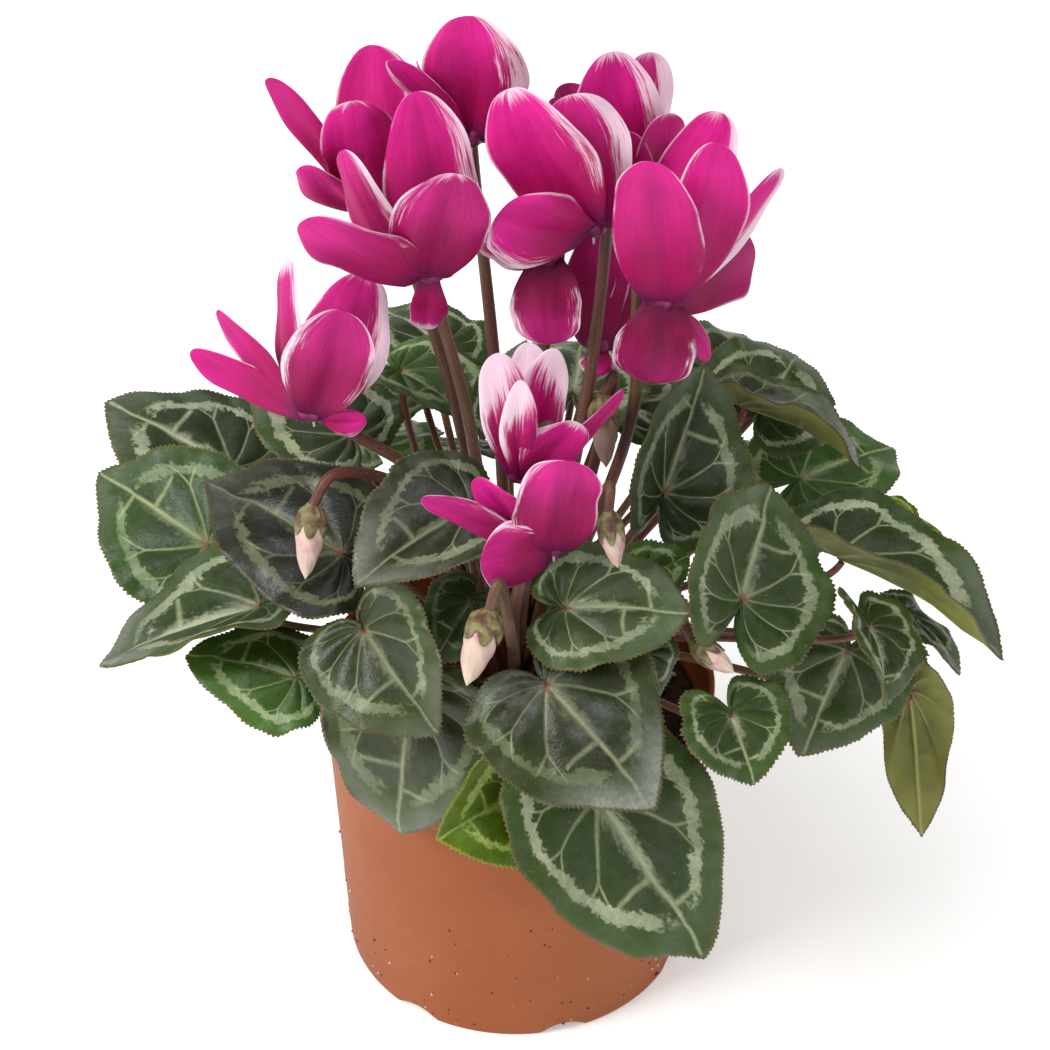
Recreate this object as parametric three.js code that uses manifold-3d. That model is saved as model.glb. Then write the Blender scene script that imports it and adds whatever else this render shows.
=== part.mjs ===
// A potted cyclamen in millimetres, +Z up, the front towards -Y and its right towards +X.
// The origin is the centre of the pot's flat base. The tuber sits half sunk in the soil,
// leaf stalks and flower stalks rise from its crown, and each blade and bloom is one body.
import * as THREE from "three";
import { mergeVertices } from "three/addons/utils/BufferGeometryUtils.js";
import Module from "manifold-3d";

const wasm = await Module();
wasm.setup();

// Pot and soil
const POT_HEIGHT = 92;
const POT_BASE_RADIUS = 49;
const POT_WALL_TOP_RADIUS = 53.5;
const POT_WALL = 1.3;
const POT_FLOOR = 1.6;
const RIM_HEIGHT = 11;
const RIM_STEP = 2;
const RIM_FLARE = 0.8;
const POT_SIDES = 36;
const NOTCH_COUNT = 7;
const NOTCH_PHASE = 0.566;
const NOTCH_RADIUS = 9;
const NOTCH_RISE = 3.2;
const NOTCH_REACH = 6;
const NOTCH_SIDES = 10;
const SOIL_TOP = 82;
const SOIL_MOUND = 2.5;
const SOIL_SIDES = 28;

// Tuber and its crown
const TUBER_RADIUS = 23;
const TUBER_HALF_HEIGHT = 10;
const TUBER_CENTRE_Z = 82;
const TUBER_SIDES = 14;
const TUBER_RINGS = 8;
const CROWN_Z = 92.3;
const CROWN_HEIGHT = 3.4;
const FLOWER_CROWN_RADIUS = 4.6;
const LEAF_CROWN_INNER = 6;
const LEAF_CROWN_RADIUS = 11;
const CROWN_TAPER = 1;
const CROWN_SIDES = 16;

// Stalks
const LEAF_STALK_RADIUS = 1;
const LEAF_STALK_SIDES = 5;
const LEAF_STALK_STEPS = 3;
const LEAF_SEAT = 0.65;
const LEAF_SEAT_FORWARD = 1.5;
const LEAF_STALK_LEAN = 0.12;
const LEAF_STALK_RISE = 0.3;
const LEAF_STALK_APPROACH = 0.2;
const FLOWER_STALK_RADIUS = 1.4;
const FLOWER_STALK_SIDES = 5;
const STEPS_PER_BEND = 2;
const HOOK_REACH = 6.8;
const HOOK_RISE = 5;
const BUD_HOOK_DROP = 1;
const CALYX_RADIUS = 2.6;
const CALYX_NECK = 1.6;
const CALYX_LENGTH = 4;
const CALYX_SIDES = 5;
const CUP_BELOW_HOOK = 4;
const BUD_CALYX_SHARE = 0.8;

// Blades, petals and the gap that touching bodies keep
const GAP = 0.35;
const BLADE_THICKNESS = 0.8;
const BLADE_POINTS = 24;
const BLADE_RING_SHARE = 0.55;
const BLADE_SIDE_REACH = 0.5;
const BLADE_TAPER = 4;
const CLEFT_DEPTH = 0.9;
const CLEFT_WIDTH = 0.085;
const TOOTH_DEPTH = 0.022;
const MARGIN_WAVES = 5;
const PETAL_THICKNESS = 0.9;
const PETAL_STATIONS = [0, 0.35, 0.7, 0.93];
const PETAL_ROOT = 3.4;
const PETAL_FLARE_END = 0.5;
const PETAL_TIP_ROUNDING = 0.62;
const PETAL_CUPPING = 0.14;
const RECEPTACLE_RADIUS = 4.4;
const RECEPTACLE_HEIGHT = 8;
const RECEPTACLE_SIDES = 6;
const RECEPTACLE_RINGS = 3;

// Each leaf: name, where the stalk joins it, its tip, roll about the midrib in degrees, breadth,
// length of the back lobes as a share of the midrib, fold of the left and the right half in degrees,
// bow of the midrib, wave of the margin in mm, tone
const LEAVES = [
  ["leaf_front_low_right", [21, -72, 113], [50, -80, 63], 0, 0.86, 0.42, 4, 4, 0.05, 1.2, "dark"],
  ["leaf_front_mid", [8, -66, 146], [35, -88, 124], 0, 1.12, 0.22, -4, -8, 0.05, 1.4, "grey"],
  ["leaf_front_low_bright", [3, -66, 111], [-20, -80, 106], 0, 1.35, 0.3, 5, 45, 0.04, 1, "bright"],
  ["leaf_front_low_left", [-27, -46, 126], [-31, -56, 84], 0, 1.15, 0.12, 2, 2, 0.05, 1.2, "grey"],
  ["leaf_front_left_folded", [-39, -44, 146], [-19, -66, 129], 0, 1.15, 0.15, 36, -4, 0.05, 1.5, "grey"],
  ["leaf_left_low", [-58, -34, 121], [-89, -26, 123], 35, 0.95, 0.2, -35, 0, 0.05, 1.2, "mid"],
  ["leaf_left_long", [-68, -20, 134], [-112, -22, 114], 0, 1, 0.2, 38, 0, 0.05, 1.5, "mid"],
  ["leaf_left_mid", [-84, 8, 133], [-116, 34, 138], 0, 1.05, 0.42, 4, 4, 0.05, 1.2, "mid"],
  ["leaf_left_back", [-80, 40, 135], [-117, 62, 141], 0, 1, 0.42, 4, 4, 0.05, 1.2, "mid"],
  ["leaf_left_inner_back", [-45, 20, 161], [-72, 44, 161], 0, 1, 0.2, 4, 4, 0.05, 1.2, "dark"],
  ["leaf_left_inner", [-45, -24, 155], [-83, 4, 158], 0, 0.82, 0.15, 2, 2, 0.05, 1.2, "olive"],
  ["leaf_centre_large", [-12, -24, 170], [-41, -48, 162], 0, 0.96, 0.3, 14, 30, 0.05, 1.2, "grey"],
  ["leaf_centre_curled", [-31, 28, 177], [-13, 14, 172], 0, 1.1, 0.4, 18, 18, 0.05, 1, "mid"],
  ["leaf_back_left_top", [-21, 52, 169], [-40, 74, 167], 0, 1.1, 0.4, 4, 4, 0.05, 1.2, "mid"],
  ["leaf_centre_back", [-4, 36, 158], [3, 60, 164], 0, 0.7, 0.4, 4, 4, 0.05, 1.2, "dark"],
  ["leaf_right_upright", [39, -12, 166], [50, 16, 187], 0, 1.1, 0.42, 55, 4, 0.05, 1.2, "dark"],
  ["leaf_right_front_large", [58, -44, 156], [65, -16, 172], 0, 1.4, 0.6, 30, 4, 0.05, 1.2, "dark"],
  ["leaf_front_upper", [13, -50, 158], [46, -54, 160], 0, 1, 0.28, 4, 4, 0.05, 1.2, "dark"],
  ["leaf_front_cupped", [33, -32, 153], [46, -26, 156], 0, 1.2, 0.4, 25, 25, 0.05, 1, "bright"],
  ["leaf_front_heart", [55, -64, 134], [61, -76, 121], 0, 1.7, 0.6, 6, 6, 0.05, 1, "mid"],
  ["leaf_right_low", [89, -24, 122], [76, -38, 98], 42, 1.25, 0.2, 4, 4, 0.05, 1.6, "dark"],
  ["leaf_right_heart", [92, -38, 142], [97, -54, 129], 0, 1.6, 0.6, 8, 24, 0.05, 1, "mid"],
  ["leaf_right_long", [87, -6, 140], [131, -26, 121], 0, 0.86, 0.36, 35, 40, 0.05, 1.2, "dark"],
  ["leaf_right_back", [80, 39, 132], [110, 64, 125], 0, 0.9, 0.4, 4, 4, 0.05, 1.2, "mid"],
  ["leaf_back_right_top", [67, 34, 160], [80, 62, 160], 0, 1.2, 0.4, 4, 4, 0.05, 1.2, "mid"],
  ["leaf_right_folded", [61, 22, 170], [94, 8, 160], 0, 0.7, 0.4, 40, 40, 0.05, 1.2, "grey"],
  ["leaf_back_right_pale", [55, 50, 160], [66, 76, 157], 0, 1.1, 0.4, 4, 4, 0.05, 1.2, "mid"],
  ["leaf_right_bright_edge", [102, 26, 133], [118, 18, 126], 0, 0.8, 0.4, 20, 20, 0.05, 1, "bright"],
  ["leaf_right_under", [106, -4, 119], [123, -12, 104], 0, 0.8, 0.3, 4, 4, 0.05, 1, "olive"],
  ["leaf_right_hanging", [109, -10, 96], [114, -20, 48], -75, 0.42, 0.2, 4, 4, 0.05, 2, "olive"],
  ["leaf_front_shaded_right", [34, -49, 142], [38, -52, 130], 0, 1.3, 0.3, 4, 4, 0.05, 0.8, "dark"],
  ["leaf_front_shaded_left", [-11, -36, 149], [-21, -46, 136], 0, 1.1, 0.3, 4, 4, 0.05, 0.8, "dark"],
  ["leaf_front_gap", [-10, -44, 125], [-18, -54, 112], 0, 1, 0.4, 4, 4, 0.05, 0.8, "dark"],
  ["leaf_back_left_low", [-44, 66, 122], [-74, 96, 98], 0, 1, 0.4, 4, 4, 0.05, 1.4, "mid"],
  ["leaf_back_mid_low", [-4, 74, 118], [-8, 106, 90], 0, 1.1, 0.4, 4, 4, 0.05, 1.4, "dark"],
  ["leaf_back_right_low", [48, 66, 126], [76, 96, 100], 0, 1.1, 0.25, 4, 4, 0.05, 1.4, "mid"],
  ["leaf_back_mid_high", [16, 50, 154], [20, 88, 146], 0, 1, 0.4, 4, 4, 0.05, 1.4, "dark"],
  ["leaf_back_left_inner", [-26, 62, 146], [-38, 98, 132], 0, 1, 0.3, 4, 4, 0.05, 1.4, "mid"],
  ["leaf_back_right_inner", [28, 68, 145], [38, 104, 131], 0, 1, 0.3, 4, 4, 0.05, 1.4, "dark"],
];

// Each bloom: name, its nose, the side of its stalk's hook in degrees, a bend of the stalk, its petals.
// Each petal: its tip from the nose, width, the way its face looks in degrees, bulge,
// width of its claw as a share of its width, where along it the tip starts to narrow
const BLOOMS = [
  ["bloom_left", [-52, -8, 189], 60, [-22, -4, 162], [
    [[-32, 10, 12], 11, 250, -0.12, 0.6, 0.5],
    [[-25, 16, 21], 9, 245, 0.05, 0.5, 0.5],
    [[-6, 20, 34], 14, 222, 0.1, 0.4, 0.5],
    [[14, 12, 35], 24, 285, 0.12, 0.45, 0.5],
    [[9, -8, 37], 22, 262, 0.12, 0.55, 0.6],
    [[14, -6, 2], 8, 300, 0.2, 0.5, 0.5],
  ]],
  ["bloom_upper_left_back", [-36, 18, 235], 0, [-16, 12, 178], [
    [[-25, -4, 40], 10, 240, -0.08, 0.7, 0.5],
    [[0, 20, 36], 22, 90, 0.05, 0.6, 0.5],
    [[-4, -10, 37], 21, 270, 0.1, 0.55, 0.62],
    [[-16, -14, 21], 15, 240, 0.12, 0.6, 0.5],
  ]],
  ["bloom_upper_left_front", [-21, -6, 230], 90, [-12, -2, 182], [
    [[-3, 10, 47], 24, 290, 0.1, 0.6, 0.5],
    [[-21, 4, 34], 16, 240, 0.1, 0.6, 0.5],
    [[-30, -12, 24], 22, 245, 0.12, 0.6, 0.62],
    [[7, -12, 37], 22, 280, 0.12, 0.55, 0.64],
    [[-2, 4, -19], 10, 270, 0.1, 0.7, 0.5],
  ]],
  ["bloom_top", [-11, 22, 253], 90, [-5, 14, 184], [
    [[0, 0, 35], 25, 270, 0.1, 0.5, 0.5],
    [[-20, -8, 27], 9, 250, -0.05, 0.6, 0.5],
    [[12, 12, 16], 16, 330, 0.1, 0.5, 0.5],
    [[-14, 18, 12], 12, 160, 0.1, 0.5, 0.5],
  ]],
  ["bloom_upper_centre", [20, 0, 240], 60, [18, -3, 185], [
    [[-21, 2, 39], 25, 255, 0.1, 0.7, 0.56],
    [[-6, 6, 35], 22, 285, 0.1, 0.55, 0.58],
    [[-24, -14, 13], 25, 255, 0.12, 0.6, 0.68],
    [[-10, 20, 26], 18, 150, 0.1, 0.5, 0.5],
  ]],
  ["bloom_upper_right_back", [35, 22, 233], 60, [22, 22, 185], [
    [[-11, 0, 45], 22, 265, 0.1, 0.6, 0.5],
    [[-1, 14, 37], 20, 120, 0.1, 0.36, 0.5],
    [[-23, 8, 31], 22, 255, 0.1, 0.6, 0.5],
    [[3, -8, 32], 16, 285, 0.1, 0.6, 0.5],
    [[-9, -10, 28], 18, 250, 0.1, 0.6, 0.5],
  ]],
  ["bloom_upper_right_front", [37, -10, 225], 150, [30, -2, 180], [
    [[-4, -14, 49], 21, 262, 0.12, 0.65, 0.72],
    [[12, -2, 47], 20, 285, 0.12, 0.55, 0.5],
    [[29, 6, 35], 12, 300, 0.12, 0.6, 0.5],
    [[14, 16, 45], 22, 65, 0.08, 0.36, 0.5],
    [[23, 10, 11], 22, 285, 0.15, 0.7, 0.66],
    [[-2, -6, -21], 22, 270, 0.15, 0.75, 0.66],
    [[13, 8, -24], 6, 300, 0.1, 0.6, 0.5],
  ]],
  ["bloom_centre_small", [8, 8, 226], 60, [5, 4, 180], [
    [[2, -14, -17], 20, 270, 0.15, 0.75, 0.66],
    [[-17, -2, 7], 11, 240, 0.1, 0.6, 0.5],
    [[-7, 12, 2], 12, 150, 0.1, 0.5, 0.5],
  ]],
  ["bloom_front_upper", [2, -31, 186], 0, [3, -36, 156], [
    [[-7, 1, 36], 14, 250, 0.1, 0.5, 0.5],
    [[2, 11, 33], 13, 90, 0.05, 0.5, 0.5],
    [[0, -7, 33], 9, 280, 0.1, 0.5, 0.5],
    [[8, 7, 34], 12, 60, 0.05, 0.45, 0.5],
    [[14, -5, 20], 15, 285, 0.12, 0.5, 0.5],
    [[25, -1, 27], 8, 310, 0.05, 0.45, 0.5],
  ]],
  ["bloom_front_lower", [10, -44, 173], 130, [1, -42, 157], [
    [[3, -12, 36], 22, 275, 0.1, 0.55, 0.68],
    [[-33, -2, 17], 10, 245, -0.1, 0.65, 0.5],
    [[-18, -9, 5], 21, 265, 0.15, 0.6, 0.66],
    [[-20, 6, 17], 13, 230, 0.1, 0.5, 0.5],
  ]],
  ["bloom_right_shaded", [22, 10, 198], 90, [14, 8, 160], [
    [[1, 8, 31], 17, 262, 0.13, 0.6, 0.5],
    [[11, 8, 25], 14, 285, 0.1, 0.6, 0.5],
    [[-1, -6, -6], 9, 270, 0.1, 0.7, 0.5],
    [[-10, 14, 14], 12, 200, 0.1, 0.6, 0.5],
  ]],
];

// Each bud: name, the bend of its stalk, the top of its hook, where the bud starts, its tip, its radius
const BUDS = [
  ["bud_left", [-26, -6, 160], [-47, -25, 181], [-52, -30, 172], [-54, -36, 156], 3.6],
  ["bud_front", [-1, -50, 150], [-4, -60, 174], [-7, -64, 165], [-12, -70, 149], 4.2],
  ["bud_front_right", [18, -26, 160], [24, -40, 189], [24, -46, 182], [26, -50, 171], 3],
  ["bud_right_low", [23, -28, 136], [42, -48, 152], [48, -53, 147], [56, -59, 144], 3],
  ["bud_faded", [20, 2, 160], [26, 3, 193], [23, -4, 188], [24, -8, 171], 3.6],
];

const COLOURS = {
  terracotta: "#ad6140",
  soil: "#30231b",
  tuber: "#5d4432",
  stalk: "#6b4031",
  dark: "#36513a",
  mid: "#48683f",
  bright: "#4d7a17",
  grey: "#4a5450",
  olive: "#565f35",
  petal: "#c81e78",
  bud: "#d8b7b4",
};

const UP = new THREE.Vector3(0, 0, 1);
const CANOPY_HEART = new THREE.Vector3(0, 0, 60);

const vec = (p) => new THREE.Vector3(...p);

function paint(colour, roughness) {
  return new THREE.MeshStandardMaterial({ color: COLOURS[colour], roughness, metalness: 0 });
}

// A closed geometry as a solid, and a solid as a geometry
function solid(geometry) {
  let bare = geometry.index ? geometry.toNonIndexed() : geometry.clone();
  bare.deleteAttribute("normal");
  bare.deleteAttribute("uv");
  bare = mergeVertices(bare, 1e-4);
  return new wasm.Manifold(
    new wasm.Mesh({
      numProp: 3,
      vertProperties: new Float32Array(bare.attributes.position.array),
      triVerts: new Uint32Array(bare.index.array),
    }),
  );
}

function geometryOf(body) {
  const mesh = body.getMesh();
  const geometry = new THREE.BufferGeometry();
  geometry.setAttribute("position", new THREE.Float32BufferAttribute(mesh.vertProperties, 3));
  geometry.setIndex(Array.from(mesh.triVerts));
  geometry.computeVertexNormals();
  return geometry;
}

const joined = (bodies) => bodies.reduce((whole, body) => whole.add(body));

// The biggest connected body of a union, which leaves loose scraps out
function biggest(body) {
  const pieces = body.decompose();
  return pieces.reduce((best, piece) => (piece.volume() > best.volume() ? piece : best));
}

function lathe(profile, sides) {
  const points = profile.map(([radius, z]) => new THREE.Vector2(radius, z));
  return new THREE.LatheGeometry(points, sides).rotateX(Math.PI / 2);
}

function tube(curve, radius, sides, steps) {
  const section = new THREE.Shape(
    Array.from({ length: sides }, (_, i) => {
      const angle = (2 * Math.PI * i) / sides;
      return new THREE.Vector2(radius * Math.cos(angle), radius * Math.sin(angle));
    }),
  );
  return new THREE.ExtrudeGeometry(section, { steps, extrudePath: curve, bevelEnabled: false });
}

// Two faces that share one layout of triangles, offset along the surface's normals, and the rim
function sheet(points, triangles, rim, thickness) {
  const middle = new THREE.BufferGeometry();
  middle.setAttribute("position", new THREE.Float32BufferAttribute(points.flat(), 3));
  middle.setIndex(triangles.flat());
  middle.computeVertexNormals();
  const normals = middle.attributes.normal;
  const count = points.length;
  const both = [];
  for (const side of [1, -1]) {
    points.forEach(([x, y, z], i) => {
      const reach = (side * thickness) / 2;
      both.push(x + reach * normals.getX(i), y + reach * normals.getY(i), z + reach * normals.getZ(i));
    });
  }
  const faces = [];
  for (const [a, b, c] of triangles) {
    faces.push(a, b, c, a + count, c + count, b + count);
  }
  rim.forEach((a, i) => {
    const b = rim[(i + 1) % rim.length];
    faces.push(a, a + count, b + count, a, b + count, b);
  });
  const geometry = new THREE.BufferGeometry();
  geometry.setAttribute("position", new THREE.Float32BufferAttribute(both, 3));
  geometry.setIndex(faces);
  return geometry;
}

// Pot: a thin cup with a stepped rim and a flat floor, notched where the wall meets the floor
function potWallRadius(z) {
  return POT_BASE_RADIUS + ((POT_WALL_TOP_RADIUS - POT_BASE_RADIUS) * z) / POT_HEIGHT;
}

function makePot() {
  const rimZ = POT_HEIGHT - RIM_HEIGHT;
  const wallAtRim = potWallRadius(rimZ);
  const rimTop = wallAtRim + RIM_STEP + RIM_FLARE;
  const profile = [
    [0, 0],
    [POT_BASE_RADIUS - 1, 0],
    [POT_BASE_RADIUS, 1],
    [wallAtRim, rimZ],
    [wallAtRim + RIM_STEP, rimZ + 0.5],
    [rimTop, POT_HEIGHT],
    [rimTop - POT_WALL - 0.3, POT_HEIGHT],
    [wallAtRim - POT_WALL + RIM_STEP - 0.6, rimZ + 1.5],
    [wallAtRim - POT_WALL, rimZ - 1],
    [POT_BASE_RADIUS - POT_WALL, POT_FLOOR],
    [0, POT_FLOOR],
  ];
  let pot = solid(lathe(profile, POT_SIDES));
  for (let i = 0; i < NOTCH_COUNT; i += 1) {
    const drum = new THREE.CylinderGeometry(NOTCH_RADIUS, NOTCH_RADIUS, 2 * NOTCH_REACH, NOTCH_SIDES);
    drum.rotateZ(Math.PI / 2);
    drum.translate(POT_BASE_RADIUS, 0, NOTCH_RISE - NOTCH_RADIUS);
    drum.rotateZ((2 * Math.PI * (i + NOTCH_PHASE)) / NOTCH_COUNT);
    pot = pot.subtract(solid(drum));
  }
  return geometryOf(pot);
}

function tuberGeometry(grow) {
  const ball = new THREE.SphereGeometry(1, TUBER_SIDES, TUBER_RINGS).rotateX(Math.PI / 2);
  ball.scale(TUBER_RADIUS + grow, TUBER_RADIUS + grow, TUBER_HALF_HEIGHT + grow);
  return ball.translate(0, 0, TUBER_CENTRE_Z);
}

// Soil: it fills the pot to a low mound, with a plain hollow where the tuber sits
function makeSoil() {
  const floorZ = POT_FLOOR + GAP;
  const profile = [
    [0, floorZ],
    [potWallRadius(floorZ) - POT_WALL - 2 * GAP, floorZ],
    [potWallRadius(SOIL_TOP - 3) - POT_WALL - 2 * GAP, SOIL_TOP - 3],
    [potWallRadius(SOIL_TOP) - POT_WALL - 4, SOIL_TOP - 1],
    [POT_BASE_RADIUS * 0.6, SOIL_TOP + SOIL_MOUND * 0.6],
    [0, SOIL_TOP + SOIL_MOUND],
  ];
  return geometryOf(solid(lathe(profile, SOIL_SIDES)).subtract(solid(tuberGeometry(GAP))));
}

// Crown: the short collar on the tuber that the stalks rise from, a plain knob or a ring
function makeCrown(inner, outer) {
  const top = CROWN_Z + CROWN_HEIGHT;
  const profile = [[inner, CROWN_Z], [outer, CROWN_Z], [outer - CROWN_TAPER, top], [inner, top]];
  if (inner > 0) {
    profile.push([inner, CROWN_Z]);
  }
  return solid(lathe(profile, CROWN_SIDES));
}

// A leaf's own axes: along the midrib to the tip, to its left, and out of its upper face
function leafAxes(joint, tip, roll) {
  const along = vec(tip).sub(vec(joint));
  const length = along.length();
  along.normalize();
  const out = vec(joint).sub(CANOPY_HEART).normalize();
  out.addScaledVector(along, -out.dot(along)).normalize();
  out.applyAxisAngle(along, THREE.MathUtils.degToRad(roll));
  const left = new THREE.Vector3().crossVectors(out, along);
  return { along, left, out, length };
}

// Reach of the heart-shaped margin from the stalk, as a share of the midrib, at an angle from it:
// a pointed tip, full sides, two round lobes and a narrow cleft between them
function heartReach(angle, lobes) {
  const turn = Math.abs(angle) / Math.PI;
  const behind = Math.max(0, 2 * turn - 1);
  const front = BLADE_SIDE_REACH + (1 - BLADE_SIDE_REACH) * (1 - turn) ** BLADE_TAPER;
  const body = front - (BLADE_SIDE_REACH - lobes) * behind * behind * (3 - 2 * behind);
  const cleft = 1 - CLEFT_DEPTH * Math.exp(-(((1 - turn) / CLEFT_WIDTH) ** 2));
  return body * cleft;
}

function leafPoint(leaf, axes, angle, share, reach) {
  const [, joint, , , breadth, , foldLeft, foldRight, bow, wave] = leaf;
  const { along, left, out, length } = axes;
  const x = length * reach * share * Math.cos(angle);
  const y = length * reach * share * Math.sin(angle) * breadth;
  const fold = THREE.MathUtils.degToRad(y > 0 ? foldLeft : foldRight);
  const u = x / length;
  const rise =
    4 * bow * length * u * (1 - u) +
    Math.abs(y) * Math.sin(fold) +
    wave * share ** 3 * Math.sin(MARGIN_WAVES * angle + joint[0]);
  return vec(joint)
    .addScaledVector(along, x)
    .addScaledVector(left, y * Math.cos(fold))
    .addScaledVector(out, rise)
    .toArray();
}

// Blade: a centre point, a half ring and a toothed margin
function makeLeaf(leaf) {
  const axes = leafAxes(leaf[1], leaf[2], leaf[3]);
  const half = BLADE_POINTS / 2;
  const points = [leafPoint(leaf, axes, 0, 0, 0)];
  for (let i = 0; i < half; i += 1) {
    const angle = -Math.PI + (2 * Math.PI * i) / half;
    points.push(leafPoint(leaf, axes, angle, BLADE_RING_SHARE, heartReach(angle, leaf[5])));
  }
  for (let i = 0; i < BLADE_POINTS; i += 1) {
    const angle = -Math.PI + (2 * Math.PI * i) / BLADE_POINTS;
    const tooth = i % 2 ? 1 + TOOTH_DEPTH : 1 - TOOTH_DEPTH;
    points.push(leafPoint(leaf, axes, angle, 1, heartReach(angle, leaf[5]) * tooth));
  }
  const inner = (i) => 1 + (i % half);
  const outer = (i) => 1 + half + (i % BLADE_POINTS);
  const triangles = [];
  for (let i = 0; i < half; i += 1) {
    triangles.push([0, inner(i), inner(i + 1)]);
    triangles.push([inner(i), outer(2 * i), outer(2 * i + 1)]);
    triangles.push([inner(i), outer(2 * i + 1), inner(i + 1)]);
    triangles.push([inner(i + 1), outer(2 * i + 1), outer(2 * i + 2)]);
  }
  const rim = Array.from({ length: BLADE_POINTS }, (_, i) => outer(i));
  return sheet(points, triangles, rim, BLADE_THICKNESS);
}

// Stalk of a leaf: it leaves the crown outwards and meets the blade from below
function makeLeafStalk(leaf) {
  const [, joint, tip, roll] = leaf;
  const { along, out } = leafAxes(joint, tip, roll);
  const end = vec(joint)
    .addScaledVector(along, LEAF_SEAT_FORWARD)
    .addScaledVector(out, -(BLADE_THICKNESS / 2 + LEAF_SEAT));
  const away = new THREE.Vector3(joint[0], joint[1], 0).normalize();
  const root = away.clone().multiplyScalar((LEAF_CROWN_INNER + LEAF_CROWN_RADIUS) / 2);
  root.z = CROWN_Z + CROWN_HEIGHT / 2;
  const span = end.distanceTo(root);
  const curve = new THREE.CubicBezierCurve3(
    root,
    root.clone().addScaledVector(away, LEAF_STALK_LEAN * span).addScaledVector(UP, LEAF_STALK_RISE * span),
    end.clone().addScaledVector(out, -LEAF_STALK_APPROACH * span),
    end,
  );
  return solid(tube(curve, LEAF_STALK_RADIUS, LEAF_STALK_SIDES, LEAF_STALK_STEPS));
}

// Width of a petal along its length: a narrower claw, widest past the middle, a round tip
function petalWidth(share, claw, peak) {
  const spread = Math.min(share / PETAL_FLARE_END, 1);
  const flare = claw + (1 - claw) * spread * spread * (3 - 2 * spread);
  const taper = Math.max(0, share - peak) / (1 - peak);
  const round = (1 - taper * taper) ** PETAL_TIP_ROUNDING;
  return flare * round;
}

function makePetal(nose, petal) {
  const [reach, width, facing, bulge, claw, peak] = petal;
  const heading = THREE.MathUtils.degToRad(facing);
  const out = new THREE.Vector3(Math.cos(heading), Math.sin(heading), 0);
  const start = vec(nose).addScaledVector(out, PETAL_ROOT);
  const along = vec(nose).add(vec(reach)).sub(start);
  const length = along.length();
  along.normalize();
  out.addScaledVector(along, -out.dot(along)).normalize();
  const left = new THREE.Vector3().crossVectors(out, along);
  const at = (share, across) => {
    const arch = bulge * length * 4 * share * (1 - share);
    const cupping = PETAL_CUPPING * width * across * across * share;
    return start
      .clone()
      .addScaledVector(along, length * share)
      .addScaledVector(left, (across * width * petalWidth(share, claw, peak)) / 2)
      .addScaledVector(out, arch - cupping)
      .toArray();
  };
  const points = PETAL_STATIONS.flatMap((share) => [at(share, -1), at(share, 0), at(share, 1)]);
  points.push(at(1, 0));
  const tip = points.length - 1;
  const rows = PETAL_STATIONS.length;
  const triangles = [];
  for (let row = 0; row < rows - 1; row += 1) {
    for (const column of [0, 1]) {
      const a = 3 * row + column;
      triangles.push([a, a + 4, a + 1], [a, a + 3, a + 4]);
    }
  }
  const last = 3 * (rows - 1);
  triangles.push([last, tip, last + 1], [last + 1, tip, last + 2]);
  const flipped = triangles.map(([a, b, c]) => [a, c, b]);
  const leftSide = Array.from({ length: rows }, (_, row) => 3 * row);
  const rightSide = Array.from({ length: rows }, (_, row) => 3 * row + 2);
  const rim = [1, ...rightSide, tip, ...leftSide.reverse()];
  return solid(sheet(points, flipped, rim, PETAL_THICKNESS));
}

// Bloom: petals swept up from the nose of a short cup that hangs mouth down
function makeBloom([, nose, , , petals]) {
  const cup = new THREE.SphereGeometry(1, RECEPTACLE_SIDES, RECEPTACLE_RINGS).rotateX(Math.PI / 2);
  cup.scale(RECEPTACLE_RADIUS, RECEPTACLE_RADIUS, RECEPTACLE_HEIGHT / 2);
  cup.translate(nose[0], nose[1], nose[2] + RECEPTACLE_HEIGHT / 4);
  return geometryOf(biggest(joined([solid(cup), ...petals.map((petal) => makePetal(nose, petal))])));
}

// A round cone on a line, for calyxes and buds: radii at shares of the way from start to end
function spindle(start, end, radii, sides) {
  const line = vec(end).sub(vec(start));
  const length = line.length();
  const profile = [[0, 0], ...radii.map(([share, radius]) => [radius, share * length]), [0, length]];
  const body = lathe(profile, sides);
  body.applyQuaternion(new THREE.Quaternion().setFromUnitVectors(UP, line.normalize()));
  return body.translate(...start);
}

// A smooth curve through bends, walked in even steps from bend to bend
class BendCurve extends THREE.CatmullRomCurve3 {
  getPointAt(share, target) {
    return this.getPoint(share, target);
  }

  getTangentAt(share, target) {
    return this.getTangent(share, target);
  }
}

// Stalk of a bloom or bud: up from the crown by way of its bends, over the hook, down to the calyx
function makeHookedStalk(bends) {
  const heading = new THREE.Vector3(bends[0][0], bends[0][1], 0).normalize();
  const root = heading.multiplyScalar(FLOWER_CROWN_RADIUS * 0.6).setZ(CROWN_Z + CROWN_HEIGHT / 2);
  const curve = new BendCurve([root, ...bends.map(vec)], false, "centripetal");
  return solid(tube(curve, FLOWER_STALK_RADIUS, FLOWER_STALK_SIDES, STEPS_PER_BEND * bends.length));
}

function makeCalyx(top, seat, radius) {
  return solid(spindle(top, seat, [[0, CALYX_NECK], [1, radius]], CALYX_SIDES));
}

// A bloom's stalk rises beside the cup before it bends over to the cup's upper end
function bloomStalk([, nose, side, bend]) {
  const heading = THREE.MathUtils.degToRad(side);
  const seat = nose[2] + RECEPTACLE_HEIGHT * 0.75 + GAP;
  const top = seat + CALYX_LENGTH;
  const x = nose[0] + HOOK_REACH * Math.cos(heading);
  const y = nose[1] + HOOK_REACH * Math.sin(heading);
  const end = [nose[0], nose[1], top - 1];
  const calyx = makeCalyx([nose[0], nose[1], top], [nose[0], nose[1], seat], CALYX_RADIUS);
  return makeHookedStalk([bend, [x, y, nose[2] - CUP_BELOW_HOOK], [x, y, top + HOOK_RISE], end]).add(calyx);
}

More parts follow.
